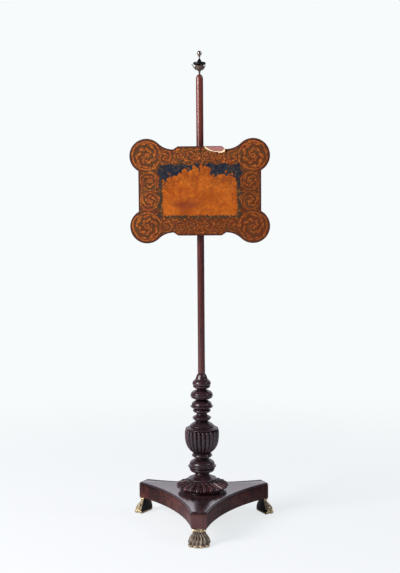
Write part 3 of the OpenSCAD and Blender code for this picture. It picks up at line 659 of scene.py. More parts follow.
urn = turned("carved_urn", flowing(urn_rings()), sides=URN_LOBES * 12, softness=0)
for corner in urn.data.vertices:
    reach = hypot(corner.co.x, corner.co.y)
    relief = lobe_relief(atan2(corner.co.y, corner.co.x), corner.co.z / MM)
    if reach > 0.02:
        corner.co.xy = corner.co.xy * (1 - relief * MM / reach)
smooth_faces(urn)
settle(urn, "stand", "column_wood", column_wood, "urn")

# %% Middle and upper stems
middle_stem = turned("turned_middle_stem", [
    (318, 17), (318.8, 20), (320.6, 23.4), (323.4, 26.2), (326.4, 28), (328.4, 28.9), (329.4, 28.6),
    (331, 26.4), (333.4, 22.6), (335.6, 18.8), (337.6, 16.2), (340.2, 15.2), (342.2, 16.2),
    (343.6, 20.6), (345.4, 24.4), (347.8, 27.0), (350.4, 27.4), (352.6, 26.2), (353.8, 23.8),
    (355, 23.6), (356.6, 27), (359.4, 31.6), (361.8, 34.4), (363.4, 34.9), (364.7, 34.3),
    (365.2, 31.6), (365.8, 29.2), (367, 29), (367.8, 30.6), (369.4, 31), (371.8, 30.2),
    (374.6, 28.6), (377, 26.2), (379, 22.8), (380.6, 19.4),
    (382, 17.4), (384, 17)])
settle(middle_stem, "stand", "column_wood", column_wood, "middle_stem")

upper_stem = turned("turned_upper_stem", [
    (384, 17), (385.2, 20), (386.6, 25.6), (388.6, 29.8), (390.8, 32.4), (392.2, 33), (392.6, 31.2),
    (393.6, 30.8), (394.2, 33.6), (395.6, 34.6), (398, 34.8), (399.6, 34.2), (400, 32),
    (401.2, 31.6), (401.8, 33.4), (403.6, 32.8), (406, 31.2), (408.8, 28.6),
    (410.8, 24.8), (412.4, 19.6), (413.8, 15.4), (415.4, 14.2), (417, 15.2), (418.4, 19.6), (420.4, 23.8),
    (423, 26.2), (425.4, 27), (426.6, 26.6), (427, 24.4), (428.4, 24.2), (429, 26.8), (431, 28), (434, 28.2),
    (437, 27.8), (439.6, 26.6), (442.2, 24.6), (444.4, 21.8), (446, 19.4), (448.4, 18.2),
    (453, 16.9), (458, 15.2), (461.4, 13.4), (463.4, 11.9), (464, 11.2)])
settle(upper_stem, "stand", "column_wood", column_wood, "upper_stem")

# %% [markdown]
# ## The reeded collar
# Under the column lies a carved collar: round reeds, with a thin dart between each two, spread from
# the stem's foot and end at the rim like finger tips. Modelling one reed and setting it round would leave
# gaps towards the middle, where reeds grow thin, so a turned dish is cut between the reeds instead,
# by a share of the space between them, and the cut runs down over the tips.

# %% Collar
COLLAR_REEDS = 22
REED_CORNERS = 28
REED_SHARE = 0.64
DART_RISE = 0.5
REED_DEPTH = 0.11
REEDS_FROM = 43.0
TIP_TOP = 122.0
TIP_FOOT = 111.0

collar_rings = [
    (100, 58), (102, 58.6), (104.5, 59.4), (107, 61), (109, 63.4), (110.6, 66.6), (111.4, 70),
    (111.8, 73.2), (112.8, 76), (114.4, 78.2), (116.4, 79.5), (118.6, 79.9), (120.8, 79.4),
    (122.6, 78), (124, 75.8), (125, 73), (126, 69.4), (127, 65.4), (128, 61.4), (129.2, 57.4),
    (130.4, 53.6), (131.6, 50.2), (132.6, 47.4), (133.4, 45.4), (134, 43)]
collar = turned("reeded_collar", flowing(collar_rings), sides=COLLAR_REEDS * REED_CORNERS, softness=0)
for corner in collar.data.vertices:
    reach = hypot(corner.co.x, corner.co.y) / MM
    level = corner.co.z / MM
    turns = atan2(corner.co.y, corner.co.x) / (2 * pi)
    across = abs((turns * COLLAR_REEDS + 0.5) % 1.0 * 2 - 1)
    if across < REED_SHARE:
        round_top = sqrt(1 - (across / REED_SHARE) ** 2)
    else:
        round_top = DART_RISE * sqrt(max(0.0, 1 - ((1 - across) / (1 - REED_SHARE)) ** 2))
    relief = reach * REED_DEPTH * (1 - round_top)
    relief *= min(1.0, max(0.0, (reach - REEDS_FROM) / 3)) * min(1.0, max(0.0, (level - TIP_FOOT) / 2))
    down = min(1.0, max(0.0, (level - TIP_TOP + 5) / 7))
    corner.co.z -= relief * MM * down
    corner.co.xy = corner.co.xy * (1 - relief * (1 - down * 0.8) / reach)
smooth_faces(outward(collar))
settle(collar, "stand", "column_wood", collar_wood, "collar")

# %% [markdown]
# ## The platform
# The three-sided platform is a carcass with veneered sides and a moulded top board. Its plan is
# worked out from three cut corners and three arcs, as a joiner would set it out with a compass. The
# moulded edge is made by lifting the same outline in steps: a thin square step, then a rounded
# nosing, each let in a little from the last.

# %% Plan of the platform
CORNER_REACH = 222.0
CORNER_WIDTH = 45.0
SIDE_HOLLOW = 32.0
ARC_STEPS = 40

half_corner = CORNER_WIDTH / 2
next_corner = Vector((CORNER_REACH * cos(pi / 6) + half_corner * sin(pi / 6),
                      CORNER_REACH * sin(pi / 6) - half_corner * cos(pi / 6)))
this_corner = Vector((half_corner, -CORNER_REACH))
half_chord = (next_corner - this_corner).length / 2
side_radius = (half_chord ** 2 + SIDE_HOLLOW ** 2) / (2 * SIDE_HOLLOW)
side_centre = (next_corner + this_corner).length / 2 - SIDE_HOLLOW + side_radius


def platform_outline(side_inset, corner_inset):
    """The plan moved in by these amounts, anticlockwise from the front corner."""
    corners = []
    for third in range(3):
        heading = radians(120 * third)
        centre = Vector((side_centre * cos(heading - pi / 6), side_centre * sin(heading - pi / 6)))
        face = CORNER_REACH - corner_inset
        reach = side_radius + side_inset
        away = side_centre * cos(pi / 3)
        end = sqrt(reach ** 2 - (face - away) ** 2)
        half_turn = 2 * pi / 3 + atan2(-end, face - away)
        facing = heading - pi / 6 + pi
        for step in range(ARC_STEPS + 1):
            angle = facing + half_turn * (1 - 2 * step / ARC_STEPS)
            corners.append((centre.x + reach * cos(angle), centre.y + reach * sin(angle)))
    return corners


plan = platform_outline(0, 0)
print("platform corners reach", round(max(hypot(x, y) for x, y in plan), 1), "mm")

# %% Platform finishes
platform_wood = wood_finish("platform_top_rosewood", (0.012, 0.004, 0.006), (0.03, 0.011, 0.014),
                            (0.07, 0.027, 0.03), grain_turn=(radians(90), 0, 0), figure=0.6,
                            gloss=0.3, coat=1.0, shine=0.15, dusty=0.03, bump=0.06, mirror=2.6,
                            blur=0.19, level=True)
side_wood = wood_finish("platform_side_veneer", (0.013, 0.0034, 0.0032), (0.041, 0.0095, 0.0078),
                        (0.09, 0.022, 0.016), grain_turn=(0, radians(90), 0), figure=0.9,
                        gloss=0.35, coat=0.0, shine=0.12, dusty=0.03)
corner_wood = wood_finish("platform_corner_veneer", (0.038, 0.015, 0.015), (0.066, 0.025, 0.024),
                          (0.105, 0.042, 0.038), figure=0.3, gloss=0.35, coat=0.2, shine=0.2,
                          dusty=0.06)
carcass_wood = wood_finish("platform_carcass_pine", (0.10, 0.055, 0.03), (0.2, 0.12, 0.07),
                           (0.33, 0.22, 0.13), grain_turn=(radians(90), 0, 0), gloss=0.7, coat=0.0)

# %% Platform top
# Each pair is a rise and how far the outline is let in after it: a round nosing, a sunk line and
# the raised table with its eased edge. A quirk, a small recess below the nosing, comes last.
TOP_FOOT = 92.0
QUIRK_HEIGHT = 2.4
QUIRK_DEPTH = 2.4
TOP_STEPS = [(0.6, 0.2), (1.0, 0.4), (0.6, 0.6), (0.3, 0.8), (-1.0, 0.9), (3.1, 0.2), (0.5, 0.4),
             (0.35, 0.6), (0.15, 0)]

platform_top = flat_shape("moulded_platform_top", platform_outline(-0.8, -0.8),
                          TOP_FOOT + QUIRK_HEIGHT)
bpy.ops.object.mode_set(mode="EDIT")
bpy.ops.mesh.select_all(action="SELECT")
for rise, let_in in TOP_STEPS:
    bpy.ops.mesh.extrude_region_move(TRANSFORM_OT_translate={"value": (0, 0, rise * MM)})
    if let_in:
        bpy.ops.mesh.inset(thickness=let_in * MM, depth=0, use_boundary=True)
bpy.ops.mesh.select_all(action="DESELECT")
bpy.ops.object.mode_set(mode="OBJECT")
min(platform_top.data.polygons, key=lambda face: face.center.z).select = True
bpy.ops.object.mode_set(mode="EDIT")
bpy.ops.mesh.inset(thickness=QUIRK_DEPTH * MM, depth=0)
bpy.ops.mesh.extrude_region_move(TRANSFORM_OT_translate={"value": (0, 0, -QUIRK_HEIGHT * MM)})
bpy.ops.object.mode_set(mode="OBJECT")
outward(platform_top, 0.0000001)
ease_edges(platform_top, 0.35, 2)
settle(platform_top, "stand", "rosewood_top", platform_wood, "platform_top")
print("platform top ends at", TOP_FOOT + QUIRK_HEIGHT + sum(rise for rise, let_in in TOP_STEPS), "mm")

# %% Platform sides and carcass
for side in ("right", "back", "left"):
    veneer = dressed_copy(f"side_veneer_{side}", f"side_{side}_veneer", 0.25)
    settle(veneer, "stand", "side_veneer", side_wood, f"side_veneer_{side}")
for corner in ("front", "right", "left"):
    veneer = dressed_copy(f"corner_veneer_{corner}", f"corner_{corner}_veneer", 0.25)
    settle(veneer, "stand", "side_veneer", corner_wood, f"corner_veneer_{corner}")
carcass = dressed_copy("platform_core", "platform_carcass", 0.3)
settle(carcass, "stand", "carcass_wood", carcass_wood, "platform_core")

# %% [markdown]
# ## The paw feet
# Each foot is a hollow brass casting of a lion's paw over an ebonised block. A sculptor would lay
# lumps on a core and then cut the hair, and so does this cell: a bell-shaped ankle is pulled up ring
# by ring, toes, claws and the rolled collar are laid on as scaled spheres, and a remesh fuses them.
# The hair is strands that part round small pits, in rows, so the pits are pressed in by moving the
# corners. The two other feet are turned copies.

# %% Places in the foot
FOOT_HEIGHT = 51.0
PAW_FRONT = -247.0
PAW_BACK = -210.0
PAW_RINGS = [(0.0, 27.5, -239.0), (4, 30.6, -242.4), (9, 32, -244.6), (14, 31.4, -244.2),
             (20, 28.6, -240.6), (26, 25, -235), (31, 21.8, -229.4), (35, 19.7, -225.6),
             (40, 18.8, -222.8), (46, 19.3, -222.4), (51, 19.6, -222.0)]


def lump(place, size, turn=(0, 0, 0), sides=20):
    """A scaled sphere at a place, both in millimetres."""
    clear_choice()
    bpy.ops.mesh.primitive_uv_sphere_add(segments=sides, ring_count=sides // 2, radius=MM,
                                         location=[value * MM for value in place],
                                         rotation=[radians(angle) for angle in turn])
    piece = bpy.context.object
    piece.scale = size
    return seat(piece)


def paw_wall():
    """The flaring ankle and foot: rings pulled up from the sole, flat behind."""
    clear_choice()
    height, half, front = PAW_RINGS[0]
    bpy.ops.mesh.primitive_circle_add(vertices=48, radius=MM, fill_type="NGON")
    wall = bpy.context.object
    wall.scale = (half, (PAW_BACK - front), 1)
    wall.location = (0, PAW_BACK * MM, height * MM)
    seat(wall)
    bpy.ops.object.mode_set(mode="EDIT")
    for above, wide, forward in PAW_RINGS[1:]:
        bpy.ops.mesh.extrude_region_move(
            TRANSFORM_OT_translate={"value": (0, 0, (above - height) * MM)})
        bpy.ops.transform.resize(
            value=(wide / half, (PAW_BACK - forward) / (PAW_BACK - front), 1),
            center_override=(0, PAW_BACK * MM, above * MM))
        height, half, front = above, wide, forward
    bpy.ops.object.mode_set(mode="OBJECT")
    return outward(wall, 0.0000001)


# %% Front paw
PAW_VOXEL = 0.7
TOES = [(-24.5, 8.5, 7.4), (-8.6, 0.6, 8.2), (8.2, 0.0, 8.4), (24, 8.0, 7.6)]

lumps = [paw_wall()]
for across, back, half in TOES:
    lumps += [
        lump((across, PAW_FRONT + 7.6 + back, 5.0), (half, 8.4, 5.6), (8, 0, 0)),
        lump((across * 0.98, PAW_FRONT + 2.8 + back, 3.0), (half * 0.42, 3.2, 3.0), (-20, 0, 0)),
        lump((across * 0.95, PAW_FRONT + 9.6 + back, 11.6), (half * 0.55, 6.4, 5.2)),
    ]
lumps += [
    lump((-7.0, -220.6, 45.6), (14.4, 4.6, 4.3), (0, 3, 0)),
    lump((12.2, -220.2, 44.6), (9.2, 3.9, 2.7), (0, 22, 0)),
    lump((-17.4, -215.4, 45.6), (3.9, 7.5, 4.0)),
    lump((17.8, -215.4, 46.2), (3.4, 7.5, 3.0)),
]
paw = joined("lion_paw_front", lumps)
finish_with(paw, "REMESH", mode="VOXEL", voxel_size=PAW_VOXEL * MM, use_smooth_shade=True)
finish_with(paw, "SMOOTH", factor=0.5, iterations=2)
print("paw", len(paw.data.polygons), "faces before the hair")

# %% Hair and back of the paw
# A pit lies wherever both waves are high: one runs round the paw and the other up it.
PIT_ANGLE = radians(23)
PIT_OFFSET = radians(4)
PIT_RISE = 15.0
PIT_ROW = 26.0
PIT_DEPTH = 3.2

moves = []
for corner in paw.data.vertices:
    x, y, z = (value / MM for value in corner.co)
    heading = atan2(x, PAW_BACK - 2 - y) + radians(3.5) * sin(z / 5.2)
    around = cos(2 * pi * (heading - PIT_OFFSET) / PIT_ANGLE)
    upward = 0.5 + 0.5 * cos(2 * pi * (z - PIT_ROW) / PIT_RISE)
    pit = max(0.0, around + 0.15) * (0.3 + 0.7 * upward)
    strand = max(0.0, -around) * 0.5
    fine = cos(2 * pi * heading / PIT_ANGLE * 3) * 0.06
    low = min(1.0, max(0.0, (z - 6.5) / 4))
    high = min(1.0, max(0.0, (40.5 - z) / 3))
    moves.append(corner.normal * (strand + fine - pit) * PIT_DEPTH * low * high * MM)
for corner, move in zip(paw.data.vertices, moves):
    corner.co += move
take_up(paw)
bpy.ops.object.mode_set(mode="EDIT")
for place, normal in (((0, PAW_BACK * MM, 0), (0, 1, 0)), ((0, 0, 0), (0, 0, -1)),
                      ((0, 0, FOOT_HEIGHT * MM), (0, 0, 1)),
                      ((0, (PAW_FRONT + 0.3) * MM, 0), (0, -1, 0))):
    bpy.ops.mesh.select_all(action="SELECT")
    bpy.ops.mesh.bisect(plane_co=place, plane_no=normal, use_fill=True, clear_outer=True)
bpy.ops.object.mode_set(mode="OBJECT")
smooth_faces(outward(paw, 0.00001), 50)

# %% Foot block
# The block fills the casting from behind and stands a hair proud of it.
BLOCK_BACK = -209.9
BLOCK_FRONT = -214.0
BLOCK_EDGE = 1.1

block_sides = [(half - BLOCK_EDGE, height) for height, half, front in PAW_RINGS if height >= 4]
block_plan = block_sides + [(-half, height) for half, height in reversed(block_sides)]
block = flat_shape("ebonised_block_front", block_plan)
block.rotation_euler = (radians(90), 0, 0)
block.location = (0, BLOCK_BACK * MM, 0)
seat(block)
bpy.ops.object.mode_set(mode="EDIT")
bpy.ops.mesh.select_all(action="SELECT")
bpy.ops.mesh.extrude_region_move(
    TRANSFORM_OT_translate={"value": (0, (BLOCK_FRONT - BLOCK_BACK) * MM, 0)})
bpy.ops.object.mode_set(mode="OBJECT")
outward(block, 0.0000001)
ease_edges(block, 0.6)

# %% [markdown]
# ## Brass and ebonised finishes
# Old brass is bright only where hands and cloths reach. Its hollows hold black-green dirt and its
# broad faces a brown film, so the colour follows the hollows and edges, and the dirt is also duller
# and hardly metallic. The same recipe, paler or darker, serves the paws, the leaf cup, the strap
# and the ball.

# %% Brass finish
def brass_finish(name, bright, film, dirt, polish=0.28, hollow=0.004, filmed=0.5, rubbed=(),
                 skin=0.0, edge_wear=0.6):
    """Tarnished brass with bright edges and dirty hollows.

    rubbed gives (low, high) heights in metres between which cleaning has kept the metal bright,
    skin is how far the film hides the metal, and edge_wear how far it is rubbed away at the edges."""
    paint = bpy.data.materials.new(name)
    paint.use_nodes = True
    tree = paint.node_tree
    shader = tree.nodes["Principled BSDF"]
    place = tree.nodes.new("ShaderNodeTexCoord").outputs["Object"]
    surface_masks = use(tree, age_and_shade, Vector=place, Hollow_size=hollow)
    blotch = ramp(tree, clouds(tree, place, 130.0, 4.0, 0.65, 0.8), 0.2 + filmed * 0.35,
                  0.5 + filmed * 0.35)
    cover = calc(tree, "SUBTRACT", calc(tree, "SUBTRACT", 1.0, blotch),
                 calc(tree, "MULTIPLY", surface_masks["Edges"], edge_wear))
    if rubbed:
        split = tree.nodes.new("ShaderNodeSeparateXYZ")
        tree.links.new(place, split.inputs[0])
        for low, high in rubbed:
            middle = (low + high) / 2
            off = calc(tree, "ABSOLUTE", calc(tree, "SUBTRACT", split.outputs["Z"], middle))
            cover = calc(tree, "SUBTRACT", cover,
                         ramp(tree, off, (high - low) * 0.62, (high - low) * 0.38))
    cover = ramp(tree, cover, 0.0, 1.0)
    metal = blend_colours(tree, cover, bright + (1,), film + (1,))
    darkened_in_hollows = calc(tree, "MULTIPLY", surface_masks["Hollows"], 0.95)
    tree.links.new(blend_colours(tree, darkened_in_hollows, metal, dirt + (1,)), shader.inputs["Base Color"])
    bare = calc(tree, "SUBTRACT", 1.0, calc(tree, "MULTIPLY", darkened_in_hollows, 0.8))
    tree.links.new(calc(tree, "MULTIPLY", bare, ramp(tree, cover, 0.0, 1.0, 1.0, 1.0 - skin)),
                   shader.inputs["Metallic"])
    rough = calc(tree, "MULTIPLY_ADD", cover, 0.14, polish)
    tree.links.new(calc(tree, "MULTIPLY_ADD", darkened_in_hollows, 0.35, rough), shader.inputs["Roughness"])
    dent = tree.nodes.new("ShaderNodeBump")
    dent.inputs["Strength"].default_value = 0.3
    dent.inputs["Distance"].default_value = 0.0003
    tree.links.new(clouds(tree, place, 420.0, 4.0, 0.6), dent.inputs["Height"])
    tree.links.new(dent.outputs["Normal"], shader.inputs["Normal"])
    return paint


paw_brass = brass_finish("paw_brass", (0.72, 0.56, 0.36), (0.165, 0.13, 0.097), (0.018, 0.012, 0.009),
                         filmed=0.9, hollow=0.006, rubbed=[(-0.006, 0.0062), (0.0415, 0.0495)],
                         skin=0.75, edge_wear=0.2, polish=0.32)
side_paw_brass = brass_finish("side_paw_brass", (0.74, 0.60, 0.34), (0.20, 0.165, 0.105),
                              (0.018, 0.012, 0.009), filmed=0.6, hollow=0.006,
                              rubbed=[(-0.006, 0.0135), (0.0415, 0.0495)], skin=0.7,
                              edge_wear=0.5, polish=0.32)
ebonised = wood_finish("ebonised_block", (0.003, 0.003, 0.0035), (0.007, 0.006, 0.006),
                       (0.02, 0.016, 0.015), gloss=0.4, coat=0.06, shine=0.1, dusty=0.04)
steel = brass_finish("screw_steel", (0.42, 0.40, 0.37), (0.12, 0.09, 0.07), (0.02, 0.015, 0.012))

# %% Three feet
for foot, heading in (("right", 120), ("left", 240), ("front", 0)):
    cast = twin(paw, f"lion_paw_{foot}_cast", heading) if heading else paw
    backing = twin(block, f"ebonised_block_{foot}_copy", heading) if heading else block
    cast_finish = side_paw_brass if heading else paw_brass
    settle(cast, "stand", "paw_brass", cast_finish, f"paw_{foot}")
    settle(backing, "stand", "ebonised_wood", ebonised, f"foot_block_{foot}")
fixings = dressed_copy("foot_screws", "foot_wood_screws", 0.1)
settle(fixings, "stand", "screw_steel", steel, "foot_screws")

# %% [markdown]
# ## The pole
# A plain turned pole needs no carving, only a slight swell at its foot, below the loops' travel, and
# a rounded top, so it is turned from few rings. Most of its look is in its finish: red mahogany with a long straight grain.

# %% Pole
pole = turned("turned_pole", [
    (412, 7.4), (463.4, 7.5), (463.9, 9.6), (464.6, 10.9), (467, 11.2), (480, 11.1), (500, 10.8), (540, 10.8),
    (900, 10.8), (1340, 10.8), (1349, 10.7), (1353, 10.1), (1356, 9), (1358.6, 7.2),
    (1360.4, 4.8), (1361, 2.6)], sides=32)
settle(pole, "pole", "pole_wood", pole_wood, "pole")
wedge = dressed_copy("tenon_wedge", "tenon_wedges", 0.1)
settle(wedge, "stand", "wedge_wood", carcass_wood, "tenon_wedge")

# %% [markdown]
# ## The finial
# Above the pole sits a candle-nozzle kind of ornament: a brass cup of leaves, a black drip plate, a
# black cone and a small ball. The round pieces are turned. Each leaf is a grid of faces whose corners
# are moved on to the cup's curve and widened at its middle, then given a thickness and turned into
# its place round the cup, and the leaf on the left is bent further out, as it is on the real one.

# %% Finial finishes
leaf_brass = brass_finish("leaf_cup_brass", (0.42, 0.29, 0.19), (0.06, 0.037, 0.027),
                          (0.010, 0.007, 0.005), filmed=0.9, hollow=0.008, skin=0.85, edge_wear=0.0)
ball_metal = brass_finish("finial_ball_metal", (0.46, 0.40, 0.33), (0.16, 0.12, 0.10),
                          (0.03, 0.024, 0.02), polish=0.2)
black_metal = wood_finish("japanned_black", (0.0015, 0.0015, 0.002), (0.004, 0.004, 0.005),
                          (0.012, 0.012, 0.014), gloss=0.28, coat=0.2, shine=0.15, dusty=0.04, bump=0.05)

# %% Turned finial pieces
POLE_TOP = 1361.0
stalk = turned("finial_stalk", [
    (1356, 2), (1361, 3), (1362.4, 3.2), (1363.6, 2.6), (1366, 2.5), (1369, 3.2), (1371.6, 4.6),
    (1374, 7), (1376, 9.4), (1376.6, 9.4), (1377, 8), (1377.4, 5), (1380, 3.6), (1389, 3.4),
    (1390.4, 3.2)], sides=24)
drip_plate = turned("finial_drip_plate", [
    (1388.4, 12), (1388.5, 15), (1389.4, 17.2), (1391, 18.6), (1393.4, 19), (1395.6, 18.4),
    (1396.8, 17), (1397, 14), (1396.9, 9), (1397, 6)], sides=36)
cone = turned("finial_cone_black", [
    (1396, 5.6), (1396.6, 7.4), (1397.8, 7.2), (1399, 6.6), (1400.8, 5.8), (1402.8, 4.9), (1405, 3.6),
    (1406.4, 2.5), (1406.8, 2.2)], sides=28)
ball = turned("finial_ball_metal", [
    (1406, 1.6), (1409, 1.7), (1411.6, 1.9), (1412.6, 3), (1413.6, 3.5), (1414.6, 3.3),
    (1415.2, 2.9), (1416, 4), (1417.6, 5.8), (1420, 7), (1422.8, 7.4), (1425.4, 6.9),
    (1427.6, 5.6), (1429.2, 3.4), (1429.9, 1.4)], sides=28)

# %% Leaves
LEAVES = 6
BLADE_ACROSS = 8
LEAF_CURVE = [(3.4, 1371.5, 2.4), (8.4, 1372.9, 5.4), (12.4, 1375.6, 7.8), (14.9, 1378.8, 9.0),
              (16.0, 1381.8, 8.8), (16.3, 1384, 7.2), (16.7, 1385.6, 4.6), (17.6, 1386.6, 2.4),
              (18.8, 1387, 0.6)]
BENT_CURVE = [(3.4, 1371.5, 2.4), (8.4, 1372.9, 5.2), (12.6, 1375.2, 7.4), (15.8, 1378.2, 8.4),
              (18, 1381.6, 8.0), (19.6, 1384.8, 6.4), (21, 1387.6, 4.6), (22.6, 1389.6, 3.0),
              (24, 1390.6, 1.4)]


def leaf(name, curve, heading):
    """A pointed brass leaf up the cup's curve, given as (radius, height, half width)."""
    clear_choice()
    bpy.ops.mesh.primitive_grid_add(x_subdivisions=BLADE_ACROSS, y_subdivisions=len(curve) - 1, size=2)
    blade = bpy.context.object
    blade.name = name
    for corner in blade.data.vertices:
        across = corner.co.x
        row = round((corner.co.y + 1) / 2 * (len(curve) - 1))
        radius, height, half = curve[row]
        side = across * half
        rib = 0.45 * cos(across * pi * 2.0) * min(1.0, row / 2)
        hug = side ** 2 / (2 * max(radius, 6))
        corner.co = ((radius - hug + rib) * MM, side * MM, height * MM)
    finish_with(blade, "SOLIDIFY", thickness=1.5 * MM, offset=-1)
    finish_with(blade, "SUBSURF", levels=2, render_levels=2)
    blade.rotation_euler = (0, 0, radians(heading))
    return seat(blade)


leaves = [leaf(f"cup_leaf_{place}", BENT_CURVE if place == 3 else LEAF_CURVE, 360 * place / LEAVES)
          for place in range(LEAVES)]
leaf_cup = joined("cup_of_leaves", [stalk] + leaves)
smooth_faces(outward(leaf_cup, 0.0000001), 60)
settle(leaf_cup, "pole", "finial_brass", leaf_brass, "leaf_cup")
settle(drip_plate, "pole", "black_metal", black_metal, "drip_plate")
settle(cone, "pole", "black_metal", black_metal, "finial_cone")
settle(ball, "pole", "ball_brass", ball_metal, "finial_ball")
rod = dressed_copy("finial_rod", "finial_threaded_rod", 0.1)
settle(rod, "pole", "screw_steel", steel, "finial_rod")

# %% [markdown]
# ## The panel
# The panel is a thin board with four round lobes and a raised tablet above and below. A decorated
# veneer is glued on its face, a plain one on its back, and a dark lipping covers its edge. Near the
# top the veneer is broken away and shows pinkish wood, and a crack runs down from the break. The
# outline is drawn once from arcs that touch, and the broken veneer has its own ragged top edge.

# %% Outline of the panel
PANEL_MIDDLE = 1017.0
PANEL_HALF = 182.0
WAIST_HALF = 123.0
LOBE_RADIUS = 50.5
LOBE_X = 157.5
LOBE_Z = 104.3
TABLET_HALF = 64.5
TABLET_RISE = 9.0
TABLET_FOOT = 78.0

hollow_run = LOBE_X - TABLET_FOOT
hollow_drop = WAIST_HALF - LOBE_Z
hollow_radius = (hollow_run ** 2 + hollow_drop ** 2 - LOBE_RADIUS ** 2) / (
    2 * (LOBE_RADIUS - hollow_drop))
hollow_middle = WAIST_HALF + hollow_radius


def corner_outline(inset):
    """A quarter of the outline, from the panel's side up round the lobe to the tablet."""
    round_out = LOBE_RADIUS - inset
    side_angle = -atan2(sqrt(round_out ** 2 - (PANEL_HALF - inset - LOBE_X) ** 2),
                        PANEL_HALF - inset - LOBE_X)
    touch = atan2(hollow_middle - LOBE_Z, TABLET_FOOT - LOBE_X)
    points = [(LOBE_X + round_out * cos(side_angle + (touch - side_angle) * step / 40),
               LOBE_Z + round_out * sin(side_angle + (touch - side_angle) * step / 40))
              for step in range(41)]
    reach = hollow_radius + inset
    start = touch - pi
    points += [(TABLET_FOOT + reach * cos(start + (-pi / 2 - start) * step / 14),
                hollow_middle + reach * sin(start + (-pi / 2 - start) * step / 14))
               for step in range(1, 15)]
    points.append((TABLET_HALF - inset * 0.5, WAIST_HALF + TABLET_RISE - inset))
    return points


def panel_outline(inset=0.0, break_line=()):
    """The whole outline, anticlockwise from the right side, with an optional ragged top."""
    quarter = corner_outline(inset)
    upper_left = [(-x, z) for x, z in reversed(quarter)]
    lower_left = [(-x, -z) for x, z in quarter]
    lower_right = [(x, -z) for x, z in reversed(quarter)]
    if break_line:
        quarter = [point for point in quarter if point[0] > break_line[0][0] or point[1] < 112]
    return quarter + list(break_line) + upper_left + lower_left + lower_right


BREAK_LINE = [(73.6, 125.8), (73.2, 122.6), (71.6, 120.8), (70.4, 118.2), (68.6, 118.9), (66.5, 116.2),
              (63.4, 115.2), (60.2, 116.4), (57.2, 114.6), (53.4, 116.8), (49.6, 117.2),
              (45.2, 116.2), (41, 117.6), (36.8, 119.8), (33.6, 119.2), (30.2, 122.6), (27.2, 123.4),
              (23.4, 126.2), (20.4, 127.8), (18.8, 130.2), (16.6, 132), (14.4, 132)]

# %% Board pieces
PANEL_BACK = -25.8
CORE_BACK = -26.8
CORE_FRONT = -33.8
PANEL_FRONT = -34.8


def panel_layer(name, outline, back, front, edge):
    """One layer of the panel, stood upright at its depth."""
    layer = board_from(name, outline, 0, back - front, edge)
    layer.rotation_euler = (radians(90), 0, 0)
    layer.location = (0, back * MM, PANEL_MIDDLE * MM)
    return seat(layer)


front_veneer = panel_layer("decorated_veneer_sheet", panel_outline(0, BREAK_LINE), CORE_FRONT,
                           PANEL_FRONT, 0.3)
back_veneer = panel_layer("plain_back_veneer", panel_outline(), PANEL_BACK, CORE_BACK, 0.3)
core_board = panel_layer("panel_core_board", panel_outline(1.6), CORE_BACK - 0.01, CORE_FRONT + 0.01,
                         0.3)

# %% Edge lipping
# The lipping is a band: the outline is inset, the middle is taken out and the ring is given depth.
LIP_WIDTH = 1.55

lip = flat_shape("edge_lipping_band", panel_outline())
bpy.ops.object.mode_set(mode="EDIT")
bpy.ops.mesh.select_all(action="SELECT")
bpy.ops.mesh.inset(thickness=LIP_WIDTH * MM, depth=0)
bpy.ops.mesh.delete(type="FACE")
bpy.ops.mesh.select_all(action="SELECT")
bpy.ops.mesh.extrude_region_move(
    TRANSFORM_OT_translate={"value": (0, 0, (CORE_BACK - CORE_FRONT) * MM)})
bpy.ops.object.mode_set(mode="OBJECT")
lip.rotation_euler = (radians(90), 0, 0)
lip.location = (0, CORE_BACK * MM, PANEL_MIDDLE * MM)
outward(seat(lip), 0.0000001)
ease_edges(lip, 0.2)

# %% Rim of the decorated veneer
# Two values on the corners help the finish. One is 1 at the outline and 0 further in, where the edge
# is darker. The other marks the broken edge, where pale splintered wood shows, most at its two ends.
RIM_WIDTH = 6.5
NEAR_BREAK = 1.2
BREAK_MIDDLE = 47.0
BREAK_HALF = 31.0

take_up(front_veneer)
bpy.ops.object.mode_set(mode="EDIT")
bpy.ops.mesh.select_all(action="DESELECT")
bpy.ops.object.mode_set(mode="OBJECT")
face_of_panel = max((face for face in front_veneer.data.polygons if face.normal.y < -0.9),
                    key=lambda face: face.area)
face_of_panel.select = True
bpy.ops.object.mode_set(mode="EDIT")
bpy.ops.mesh.inset(thickness=RIM_WIDTH * MM, depth=0)
bpy.ops.object.mode_set(mode="OBJECT")
inner = {corner for face in front_veneer.data.polygons if face.select for corner in face.vertices}
rim_value = front_veneer.data.attributes.new("rim", "FLOAT", "POINT")
break_value = front_veneer.data.attributes.new("broken", "FLOAT", "POINT")
for place, corner in enumerate(front_veneer.data.vertices):
    x, z = corner.co.x / MM, corner.co.z / MM - PANEL_MIDDLE
    near = min(hypot(x - break_x, z - break_z) for break_x, break_z in BREAK_LINE)
    rim_value.data[place].value = 0.0 if place in inner else 1.0
    if place not in inner and near < NEAR_BREAK and x > 15.5:
        break_value.data[place].value = 0.45 + 0.55 * min(1.0, abs(x - BREAK_MIDDLE) / BREAK_HALF) ** 2
print("veneer rim", len(inner), "inner corners of", len(front_veneer.data.vertices))

# %% [markdown]
# ## The decorated veneer
# The face is veneer decorated with ink and varnish in imitation of inlay: a border of scrolling
# leaves in roundels, a blue-black ground inside it, and a warm amber picture in the middle, now so
# worn that it reads as a clump of foliage. The picture itself is not copied here: a plain leafy
# cartouche of like size and colours stands in its place. The scrolls are an old workshop pattern, so
# they are kept. They are drawn with sums instead of a painted image: a spiral is the angle about a
# centre plus a share of the distance, and leaves are that band made to swell and shrink. The border
# is the same in all four quarters, so a quarter is drawn and folded over, and a hand's unevenness is
# added by shaking the coordinates a little before the fold.

